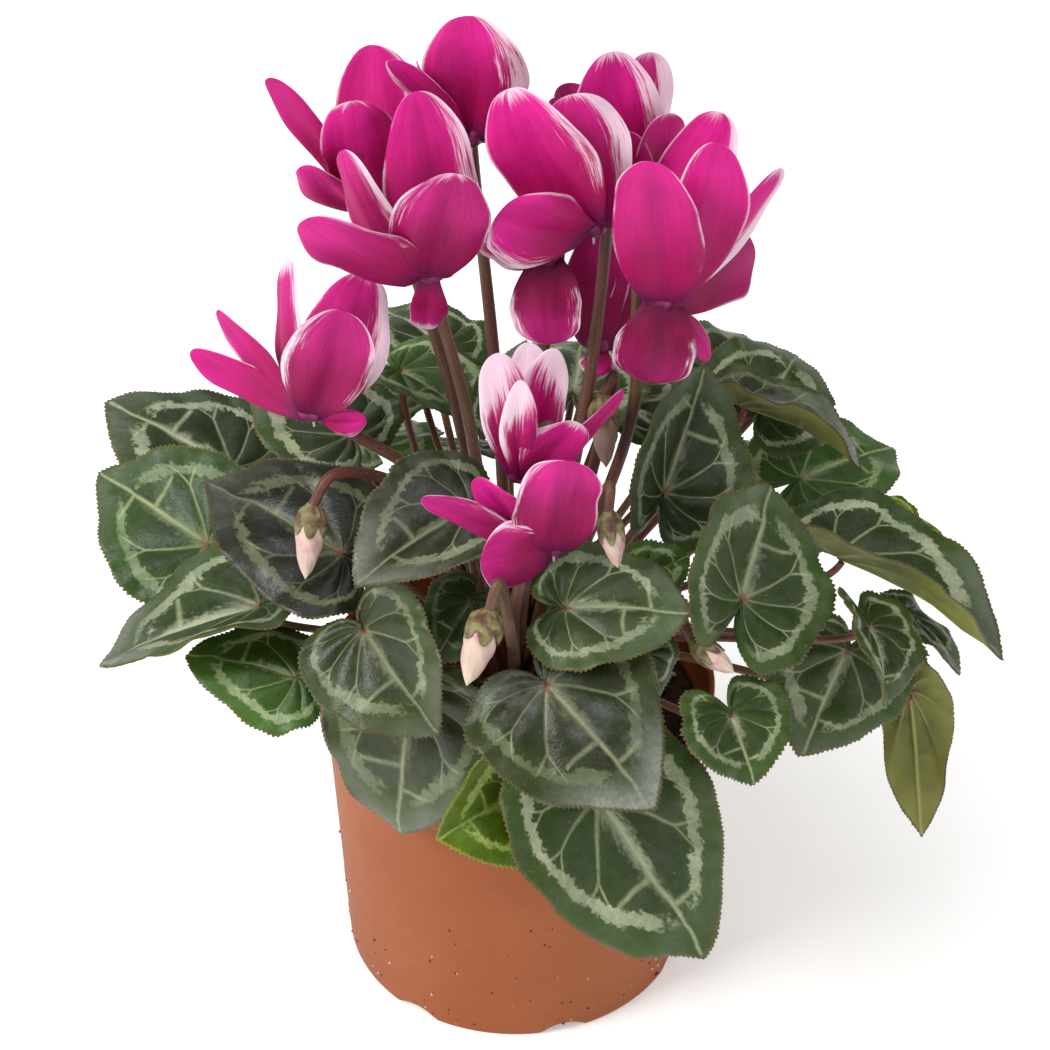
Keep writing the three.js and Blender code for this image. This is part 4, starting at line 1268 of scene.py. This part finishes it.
@dataclass
class Buds:
    """Every bud: petals rolled into a pointed spindle with five spiral edges."""

    buds: list[Bud]
    rolls: int = 5
    twist: float = 2.4
    stations: tuple[float, ...] = (0, 0.04, 0.15, 0.3, 0.5, 0.65, 0.85, 1)
    widths: tuple[float, ...] = (0, 0.75, 0.9, 1, 0.92, 0.76, 0.42, 0)
    finishes: list[Material] = field(default_factory=list)

    def dress(self) -> None:
        """Makes the rolled petals' finish, cream with a pink flush, and brown where it has faded."""
        graph = Graph("bud")
        share, around = graph.surface()
        streaks = graph.drawn(around * 16.0, share * 2.0, 0.0, 4)
        blotch = graph.noise(graph.place(), 190, 3).step(0.45, 0.75)
        colour = graph.between(blotch, (206, 182, 166), (196, 124, 148))
        colour = colour.toward(share.step(0.7, 1.0), (218, 202, 176))
        colour = colour.toward(graph.carried("faded") * 0.75, (122, 92, 78))
        graph.relief(streaks, 0.0004, 0.7)
        graph.set(Base_Color=colour.lighten(streaks * 0.5 + 0.75), Roughness=0.5)
        graph.set(Subsurface_Weight=0.15, Subsurface_Scale=0.001)
        self.finishes = [graph.material]

    def spindle(self, bud: Bud) -> Surface:
        """A pointed spindle of the widths with spiral edges, r (0.94 + 0.12 e^2).

        Here e is the saw tooth of the rolls times the angle, plus the twist times the way down.

        Args:
            bud: The bud's row.

        Returns:
            Its patch.
        """
        start = vec(bud.neck)
        down, side, other, length = line_frame(start, vec(bud.tip))
        share = np.linspace(0, 1, 30)[:, None]
        turn = circle(60)[None]
        saw = (self.rolls * turn / (2 * np.pi) + self.twist * share) % 1.0
        radius = bud.radius * np.interp(share, self.stations, self.widths) * (0.94 + 0.12 * saw * saw)
        points = start + (share * length)[..., None] * down + radius[..., None] * spokes(turn, side, other)
        return grid(points, stack(share, turn / (2 * np.pi)), faded=bud.faded)

    def build(self) -> None:
        """Makes one piece for each bud."""
        for bud in self.buds:
            make_piece(f"rolled_{bud.name}", [f"bud_{bud.name}"], [self.spindle(bud)], self.finishes)


def smooth_curve(bends: list[Array], steps: int) -> Array:
    """A centripetal Catmull-Rom curve through bends.

    On each stretch the curve is the cubic with the two bends as ends and, as tangents there, the
    weighted slopes towards both neighbours; the weights are the square roots of the distances.

    Args:
        bends: The points that it passes through, in mm.
        steps: Points on each stretch.

    Returns:
        n by 3.
    """
    line = [2 * bends[0] - bends[1], *bends, 2 * bends[-1] - bends[-2]]
    share = np.linspace(0, 1, steps, endpoint=False)[:, None]
    parts = []
    for a, b, c, d in zip(line[:-3], line[1:-2], line[2:-1], line[3:]):
        pairs = ((a, b), (b, c), (c, d))
        before, here, after = (math.sqrt(max(np.linalg.norm(q - p), TINY)) for p, q in pairs)
        first = ((b - a) / before - (c - a) / (before + here) + (c - b) / here) * here
        second = ((c - b) / here - (d - b) / (here + after) + (d - c) / after) * here
        square = -3 * b + 3 * c - 2 * first - second
        cube = 2 * b - 2 * c + first + second
        parts.append(b + first * share + square * share**2 + cube * share**3)
    return np.concatenate([*parts, bends[-1][None]])


@dataclass
class Stalks:
    """The leaf stalks and the flower stalks, each set rising from its own part of the crown."""

    leaves: list[Leaf]
    blooms: list[Bloom]
    buds: list[Bud]
    leaf_radius: float = 1.12
    leaf_crown: Span = (6.0, 11.0)
    leaf_seat: float = 1.05
    leaf_seat_forward: float = 1.5
    leaf_lean: float = 0.12
    leaf_rise: float = 0.3
    leaf_approach: float = 0.2
    flower_radius: float = 1.5
    flower_crown: float = 4.6
    hook_reach: float = 6.8
    hook_rise: float = 5.0
    below_hook: float = 4.0
    cup_height: float = 8.0
    calyx_length: float = 4.0
    calyx_radius: float = 2.9
    calyx_neck: float = 1.4
    calyx_wall: float = 0.5
    calyx_rib: float = 0.07
    sepals: int = 5
    bloom_sepal: float = 1.8
    bud_sepal: float = 5.0
    gap: float = 0.35
    finishes: list[Material] = field(default_factory=list)

    def stalk_finish(self, name: str, red: Colour, green: Colour) -> Material:
        """Makes a fleshy stalk's finish.

        Args:
            name: The material's name.
            red: Its main colour.
            green: The colour of its patches.

        Returns:
            A material whose colours run into each other along fine streaks.
        """
        graph = Graph(name)
        along, around = graph.surface()
        place = graph.place()
        streaks = graph.drawn(along * 0.8, around * 12.8, 0.0, 4)
        patches = graph.noise(place, 26, 3) + (streaks * 0.3 - 0.15)
        specks = graph.noise(place, 1300, 2).step(0.62, 0.7)
        colour = graph.between(patches.step(0.42, 0.72), red, green).lighten(streaks * 0.6 + 0.7)
        graph.relief(streaks + specks * 0.3, 0.0003, 0.6)
        graph.set(Base_Color=colour.toward(specks * 0.35, (168, 120, 100)), Roughness=0.46)
        return graph.material

    def dress(self) -> None:
        """Makes the finishes of the leaf stalks, the flower stalks and the calyxes."""
        calyx = Graph("calyx")
        mottle = calyx.noise(calyx.place(), 420, 4)
        colour = calyx.between(mottle.step(0.35, 0.65), (96, 62, 44), (124, 122, 76))
        calyx.relief(mottle, 0.0004, 0.7)
        calyx.set(Base_Color=colour.lighten(mottle * 0.6 + 0.75), Roughness=0.55)
        self.finishes = [
            self.stalk_finish("leaf_stalk", (104, 52, 38), (112, 84, 52)),
            self.stalk_finish("flower_stalk", (96, 54, 42), (104, 82, 56)),
            calyx.material,
        ]

    def leaf_stalk(self, leaf: Leaf) -> Surface:
        """A cubic Bezier from the crown, outwards and up, to the blade's joint from below.

        Args:
            leaf: The blade's row.

        Returns:
            The stalk's patch.
        """
        along, _, out, _ = leaf.axes()
        end = vec(leaf.joint) + along * self.leaf_seat_forward - out * self.leaf_seat
        away = unit(np.array([leaf.joint[0], leaf.joint[1], 0.0]))
        root = away * sum(self.leaf_crown) / 2 + UP * (CROWN_Z + CROWN_HEIGHT / 2)
        span = float(np.linalg.norm(end - root))
        second = root + away * self.leaf_lean * span + UP * self.leaf_rise * span
        third = end - out * self.leaf_approach * span
        s = np.linspace(0, 1, 40)[:, None]
        path = root * (1 - s) ** 3 + 3 * second * s * (1 - s) ** 2 + 3 * third * s * s * (1 - s) + end * s**3
        return tube(path, self.leaf_radius * (1.15 - 0.25 * s[:, 0]), 10)

    def hooked_stalk(self, bends: list[Array]) -> Surface:
        """A smooth curve from the crown through its bends, a little thicker at its foot.

        Args:
            bends: The bends and the stalk's end, in mm.

        Returns:
            The stalk's patch.
        """
        heading = unit(np.array([bends[0][0], bends[0][1], 0.0]))
        root = heading * self.flower_crown * 0.6 + UP * (CROWN_Z + CROWN_HEIGHT / 2)
        path = smooth_curve([root, *bends], 16)
        return tube(path, self.flower_radius * np.linspace(1.15, 0.92, len(path)), 12)

    def calyx(self, top: Array, seat: Array, radius: float, sepal: float) -> Surface:
        """Five sepals round the seat: a cone whose lower edge runs out into five points.

        The edge reaches the seat plus sepal (0.3 + 0.7 |cos 2.5a|), and the wall swells by a smooth
        step of the share of the way down.

        Args:
            top: Its narrow end in mm.
            seat: The point that it clasps, in mm.
            radius: Its radius there.
            sepal: How far the sepals' points run on.

        Returns:
            Its patch, with the inside closed.
        """
        down, side, other, length = line_frame(top, seat)
        share = np.linspace(0, 1, 14)[:, None]
        turn = circle(40)[None]
        reach = length + sepal * (0.3 + 0.7 * np.abs(np.cos(self.sepals / 2 * turn)))
        wall = self.calyx_neck + (radius - self.calyx_neck) * smooth(share / 0.6)
        wall = wall - 0.3 * smooth((share - 0.75) / 0.25)
        ribs = 1 + self.calyx_rib * np.cos(self.sepals * turn)
        radii = wall * ribs * np.minimum(1, share / 0.01)
        ring = spokes(turn, side, other)
        points = top + (share * reach)[..., None] * down + radii[..., None] * ring
        inner = (radii[-1:] - self.calyx_wall)[..., None]
        inside = top + (reach - 0.9)[..., None] * down + inner * ring
        floor = np.broadcast_to(top + down * length * 0.6, inside.shape)
        every = np.concatenate([points, inside, floor])
        return grid(every, stack(np.linspace(0, 1, len(every))[:, None], turn / (2 * np.pi)), 1)

    def bloom_stalk(self, bloom: Bloom) -> list[Surface]:
        """The stalk beside the cup, the hook over it, and the calyx on the cup's upper end.

        Args:
            bloom: The bloom's row.

        Returns:
            The stalk and the calyx.
        """
        nose = vec(bloom.nose)
        aside = nose + self.hook_reach * level(bloom.side)
        seat = nose + UP * (self.cup_height * 0.75 + self.gap)
        top = seat + UP * self.calyx_length
        hook = aside + UP * (top[2] + self.hook_rise - nose[2])
        bends = [vec(bloom.bend), aside - UP * self.below_hook, hook, top - UP]
        return [self.hooked_stalk(bends), self.calyx(top, seat, self.calyx_radius, self.bloom_sepal)]

    def bud_stalk(self, bud: Bud) -> list[Surface]:
        """The stalk over the hook and the calyx that clasps the bud.

        Args:
            bud: The bud's row.

        Returns:
            The stalk and the calyx.
        """
        neck = vec(bud.neck)
        down = unit(vec(bud.tip) - neck)
        top = neck - down * self.calyx_length
        stalk = self.hooked_stalk([vec(bud.bend), vec(bud.hook), top + down])
        return [stalk, self.calyx(top, neck, bud.radius * 1.14, self.bud_sepal)]

    def crown(self, inner: float, outer: float) -> Surface:
        """The knobbly collar of the crown that the stalks rise from.

        Args:
            inner: Its inner radius in mm, 0 where it is solid.
            outer: Its outer radius.

        Returns:
            The collar's patch.
        """
        top = CROWN_Z + CROWN_HEIGHT
        corners = [(inner, CROWN_Z), (outer, CROWN_Z), (outer - 0.3, CROWN_Z + 1.8)]
        corners += [(outer - 1, top), (inner, top)]
        if inner:
            corners.append(corners[0])
        collar = lathe(rounded(corners, 0.8), 64)
        knobs = 0.3 * ripple(collar.points, 5, 7)[:, None]
        collar.points = collar.points + knobs * unit(collar.points - UP * CROWN_Z)
        return collar

    def build(self) -> None:
        """Makes the piece of the leaf stalks and the piece of the flower stalks."""
        leaf = [self.crown(*self.leaf_crown)] + [self.leaf_stalk(one) for one in self.leaves]
        make_piece("petioles", ["leaf_stalks"], leaf, self.finishes[:1])
        flower = [self.crown(0.0, self.flower_crown)]
        for bloom in self.blooms:
            flower += self.bloom_stalk(bloom)
        for bud in self.buds:
            flower += self.bud_stalk(bud)
        make_piece("peduncles", ["flower_stalks"], flower, self.finishes[1:])


@dataclass
class Pot:
    """The thin plastic pot: a spun wall with a stepped rim and notches round its foot."""

    height: float = 92.0
    base_radius: float = 49.0
    wall_top_radius: float = 53.5
    wall: float = 1.3
    floor: float = 1.6
    rim_height: float = 11.0
    rim_step: float = 2.0
    rim_flare: float = 0.8
    notch_count: int = 7
    notch_radius: float = 9.0
    notch_rise: float = 3.2
    notch_reach: float = 6.0
    notch_phase: float = 0.566
    bead_heights: Span = (7.6, 22.8)
    bead_rise: float = 0.14
    bead_width: float = 0.9
    sides: int = 288
    finishes: list[Material] = field(default_factory=list)

    def dress(self) -> None:
        """Makes the matte plastic, the perlite and the grit on it."""
        graph = Graph("terracotta_plastic")
        place = graph.place()
        x, _, z = graph.split(place)
        scuffs = graph.noise(place, 240, 6, 0.7)
        low = z.step(0.034, 0.0)
        colour = graph.between(graph.noise(place, 18).step(0.3, 0.7), (148, 79, 41), (158, 88, 48))
        colour = colour.toward(scuffs.step(0.6, 0.72) * (low * 0.5 + 0.12), (112, 74, 54))
        dust = graph.noise(place, 620, 4, 0.7).step(0.66, 0.74)
        colour = colour.toward(dust * (low * 0.45 + 0.06), (206, 168, 146))
        scratches = graph.drawn(x * 60.0, 0.0, x * 300.0 + z * 900.0, 2).step(0.7, 0.78)
        scratches = scratches * graph.noise(place, 90, 2).step(0.5, 0.62)
        colour = colour.toward(scratches * 0.4, (214, 160, 130))
        graph.relief(scuffs * 0.4 + graph.noise(place, 1800, 2), 0.00012, 0.5)
        graph.set(Base_Color=colour, Roughness=scuffs * 0.24 + 0.42, Specular_IOR_Level=0.22)
        perlite = two_toned("perlite", (224, 214, 204), (176, 158, 144), 0.9)
        grit = two_toned("grit", (52, 34, 24), (104, 66, 44), 0.95)
        self.finishes = [graph.material, perlite, grit]

    def wall_radius(self, z: Array | float) -> Array | float:
        """The outer radius at a height, a straight taper."""
        return self.base_radius + (self.wall_top_radius - self.base_radius) * z / self.height

    def notch_lift(self, turn: Array) -> Array:
        """How far the foot is cut up: sqrt(R^2 - w^2) - (R - rise), with w the way to the notch's middle.

        Args:
            turn: Angles about the pot in radians.

        Returns:
            The cut's height at each angle in mm.
        """
        pitch = 2 * np.pi / self.notch_count
        off = (turn - self.notch_phase * pitch + pitch / 2) % pitch - pitch / 2
        across = np.minimum(np.abs(off) * self.base_radius, self.notch_radius)
        return np.maximum(0, np.sqrt(self.notch_radius**2 - across**2) - self.notch_radius + self.notch_rise)

    def profile(self) -> Array:
        """The outline of the cut wall.

        Returns:
            Radii and heights from the middle of the underside round to the middle of the floor.
        """
        base = self.base_radius
        wall = self.wall
        rim_z = self.height - self.rim_height
        at_rim = float(self.wall_radius(rim_z))
        step = at_rim + self.rim_step
        top = step + self.rim_flare
        corners = [
            (0, 0.9), (base - self.notch_reach - 3, 0.9), (base - self.notch_reach, 0), (base - 0.9, 0),
            (base - 0.25, 0.3), (base, 1), (at_rim, rim_z), (step - 0.4, rim_z + 0.2), (step, rim_z + 0.8),
            (top, self.height - 0.5), (top - 0.3, self.height), (top - wall, self.height),
            (top - wall - 0.3, self.height - 0.4), (step - wall - 0.6, rim_z + 1.5),
            (at_rim - wall, rim_z - 1), (base - wall, self.floor), (0, self.floor),
        ]
        return rounded(corners, 1.6)

    def shell(self) -> Surface:
        """Spins the wall and the floor.

        Returns:
            Their patch, with the foot lifted at the notches and two faint mould lines.
        """
        surface = lathe(self.profile(), self.sides)
        points = surface.points
        radius = np.linalg.norm(points[:, :2], axis=1)
        lift = self.notch_lift(np.arctan2(points[:, 1], points[:, 0]))
        foot = smooth((radius - self.base_radius + self.notch_reach + 1) / 1.5)
        inside = np.abs(points[:, 2] - self.floor) < 0.01
        least = lift * foot + np.where(inside, self.wall, 0) * (lift > 0) * foot
        points[:, 2] = np.where(points[:, 2] < least, least, points[:, 2])
        outer = radius > self.wall_radius(points[:, 2]) - 0.6
        for bead in self.bead_heights:
            swell = self.bead_rise * np.exp(-(((points[:, 2] - bead) / self.bead_width) ** 2)) * outer
            points[:, :2] *= (1 + swell / np.maximum(radius, 1))[:, None]
        return surface

    def specks(self, count: int, heights: Span, sizes: Span, finish: int, seed: int) -> Surface:
        """Specks that cling to the wall, more of them low down.

        Args:
            count: Their number.
            heights: The lowest and the highest one.
            sizes: The smallest and the largest radius.
            finish: Index of the finish.
            seed: Seed of their places.

        Returns:
            Their patch.
        """
        draw = np.random.default_rng(seed)
        turn = draw.uniform(0, 2 * np.pi, count)
        z = heights[0] + (heights[1] - heights[0]) * draw.uniform(0, 1, count) ** 1.7
        radius = self.wall_radius(z) + 0.05
        places = stack(radius * np.cos(turn), radius * np.sin(turn), z)
        return grains(places, draw.uniform(sizes[0], sizes[1], count), finish, seed + 1)

    def build(self) -> None:
        """Makes the pot's piece, with perlite and grit on its wall."""
        perlite = self.specks(46, (4, 30), (0.25, 0.6), 1, 11)
        grit = self.specks(110, (3, 44), (0.2, 0.5), 2, 12)
        make_piece("pot_shell", ["pot"], [self.shell(), perlite, grit], self.finishes)


@dataclass
class Bed:
    """The potting soil, mounded and grainy, and the corky tuber half sunk in it.

    The crumbs and the perlite are each a count, the index of a finish, and a radius in mm.
    """

    pot: Pot
    soil_top: float = 82.0
    mound: float = 2.5
    tuber_radius: float = 23.0
    tuber_half_height: float = 10.0
    clearance: float = 0.7
    crumbs: tuple[int, int, float] = (620, 0, 1.1)
    perlite: tuple[int, int, float] = (90, 1, 0.9)
    finishes: list[Material] = field(default_factory=list)

    def dress(self) -> None:
        """Makes the soil's, the perlite's and the tuber's finishes."""
        soil = Graph("soil")
        crumbs = soil.noise(soil.place(), 420, 6, 0.7)
        soil.relief(crumbs, 0.0012, 0.9)
        colour = soil.between(crumbs.step(0.35, 0.7), (36, 25, 18), (74, 52, 38))
        soil.set(Base_Color=colour, Roughness=0.95)
        perlite = two_toned("soil_perlite", (222, 216, 206), (170, 160, 148), 0.9)
        tuber = Graph("tuber_skin")
        cracks = tuber.node("TexVoronoi", 0, Vector=tuber.place(), Scale=260)
        tuber.relief(cracks, 0.001, 0.8)
        colour = tuber.between(cracks.step(0.1, 0.7), (58, 40, 28), (112, 84, 62))
        tuber.set(Base_Color=colour, Roughness=0.85)
        self.finishes = [soil.material, perlite, tuber.material]

    def soil(self) -> list[Surface]:
        """A closed plug under a low mound, with crumbs and perlite strewn over it.

        Returns:
            The plug, the crumbs and the perlite.
        """
        pot = self.pot
        top = self.soil_top
        floor_z = pot.floor + 0.35
        radius = pot.wall_radius(top) - pot.wall - self.clearance
        foot = pot.wall_radius(floor_z) - pot.wall - self.clearance
        corners = [
            (0, floor_z), (foot, floor_z), (radius, top - 2), (radius - 2, top - 0.4),
            (0.6 * pot.base_radius, top + 0.6 * self.mound), (0, top + self.mound),
        ]
        body = lathe(rounded(corners, 1.5), 128)
        body.points[:, 2] += 0.9 * smooth((body.points[:, 2] - top + 3) / 2) * ripple(body.points, 7, 3)
        draw = np.random.default_rng(5)
        out = [body]
        for count, finish, size in (self.crumbs, self.perlite):
            far = (radius - 2) * np.sqrt(draw.uniform(0.1, 1, count))
            turn = draw.uniform(0, 2 * np.pi, count)
            z = top + self.mound * (1 - far / radius) + draw.uniform(-0.6, 0.5, count)
            places = stack(far * np.cos(turn), far * np.sin(turn), z)
            out.append(grains(places, size * draw.uniform(0.5, 1.2, count), finish, 40 + finish))
        return out

    def tuber(self) -> Surface:
        """A flattened ball, roughened by ripples of its own place.

        Returns:
            Its patch.
        """
        rise = np.linspace(-np.pi / 2, np.pi / 2, 41)[:, None]
        turn = circle(96)[None]
        ball = stack(np.cos(rise) * np.cos(turn), np.cos(rise) * np.sin(turn), np.sin(rise))
        points = ball * np.array([self.tuber_radius, self.tuber_radius, self.tuber_half_height])
        rough = 0.5 * ripple(points, 9, 21) + 0.25 * ripple(points, 3.5, 22)
        points = points + ball * rough[..., None] + UP * self.soil_top
        return grid(points, stack(turn / (2 * np.pi), rise / np.pi + 0.5))

    def build(self) -> None:
        """Makes the soil's and the tuber's pieces."""
        make_piece("soil_bed", ["soil"], self.soil(), self.finishes[:2])
        make_piece("corky_tuber", ["tuber"], [self.tuber()], self.finishes[2:])


@dataclass
class Studio:
    """The camera at the photograph's angle, a pale floor and soft lights."""

    distance: float = 0.85
    elevation: float = 37.7
    target: Point = (0.0027, 0.0, 0.146)
    focal_pixels: float = 3160.0
    frame_pixels: float = 1050.0
    sensor: float = 36.0
    sky_light: float = 0.43
    sky_shine: float = 0.08
    floor_glow: float = 0.3
    floor_reach: float = 6.0
    lit_height: float = 0.14

    def camera(self) -> None:
        """Places the camera: it looks along +Y and down by the elevation at the target."""
        data = bpy.data.cameras.new("camera")
        data.sensor_width = self.sensor
        data.lens = self.focal_pixels / self.frame_pixels * self.sensor
        camera = bpy.data.objects.new("camera", data)
        tilt = math.radians(self.elevation)
        x, y, z = self.target
        camera.location = (x, y - self.distance * math.cos(tilt), z + self.distance * math.sin(tilt))
        camera.rotation_euler = (math.pi / 2 - tilt, 0, 0)
        bpy.context.scene.collection.objects.link(camera)
        bpy.context.scene.camera = camera

    def light(self, name: str, place: Point, size: float, power: float) -> None:
        """Adds a square soft light that looks at the plant's middle.

        Args:
            name: Its name.
            place: Its place in metres.
            size: Its side in metres.
            power: Its power in watts.
        """
        data = bpy.data.lights.new(name, "AREA")
        data.size = size
        data.energy = power
        lamp = bpy.data.objects.new(name, data)
        away = unit(vec(place) - UP * self.lit_height)
        lamp.location = place
        lamp.rotation_euler = (math.acos(away[2]), 0, math.atan2(away[1], away[0]) + math.pi / 2)
        bpy.context.scene.collection.objects.link(lamp)

    def floor(self) -> None:
        """Lays a pale matte floor."""
        graph = Graph("floor")
        graph.set(Base_Color=shade((248, 248, 247)), Roughness=0.8)
        graph.set(Emission_Color=shade((255, 255, 255)), Emission_Strength=self.floor_glow)
        reach = self.floor_reach
        mesh = bpy.data.meshes.new("floor")
        corners = [(-reach, -reach, 0), (reach, -reach, 0), (reach, reach, 0), (-reach, reach, 0)]
        mesh.from_pydata(corners, [], [(0, 1, 2, 3)])
        mesh.materials.append(graph.material)
        floor = bpy.data.objects.new("floor", mesh)
        bpy.context.scene.collection.objects.link(floor)

    def sky(self) -> None:
        """A plain white backdrop that lights the part, and shines in it, less than it shows."""
        world = bpy.data.worlds.new("studio")
        world.use_nodes = True
        nodes = world.node_tree.nodes
        links = world.node_tree.links
        seen = nodes["Background"]
        seen.inputs["Color"].default_value = (1.0, 1.0, 1.0, 1.0)
        seen.inputs["Strength"].default_value = 1.0
        rays = nodes.new("ShaderNodeLightPath")
        surface = seen.outputs[0]
        for kind, strength in (("Is Diffuse Ray", self.sky_light), ("Is Glossy Ray", self.sky_shine)):
            lit = nodes.new("ShaderNodeBackground")
            lit.inputs["Color"].default_value = (1.0, 1.0, 1.0, 1.0)
            lit.inputs["Strength"].default_value = strength
            mix = nodes.new("ShaderNodeMixShader")
            for socket, source in zip(mix.inputs, (rays.outputs[kind], surface, lit.outputs[0])):
                links.new(source, socket)
            surface = mix.outputs[0]
        links.new(surface, nodes["World Output"].inputs["Surface"])
        bpy.context.scene.world = world

    def build(self) -> None:
        """Sets up the whole studio."""
        self.camera()
        self.floor()
        self.light("key", (-1.15, -0.6, 1.2), 0.7, 22)
        self.light("fill", (1.1, -1.0, 0.8), 1.2, 4)
        self.light("top", (0.1, -0.3, 1.7), 1.0, 8)
        self.light("sheen", (-0.5, 1.3, 1.2), 0.7, 5)
        self.sky()
        bpy.context.scene.view_settings.view_transform = "Standard"


def main() -> None:
    """Builds the studio and every piece of the plant in order."""
    logging.basicConfig(level=logging.INFO, format="%(message)s")
    Studio().build()
    pot = Pot()
    parts = [pot, Bed(pot), Stalks(LEAVES, BLOOMS, BUDS), Foliage(LEAVES), Flowers(BLOOMS), Buds(BUDS)]
    for part in parts:
        part.dress()
        part.build()


if __name__ == "__main__":
    main()
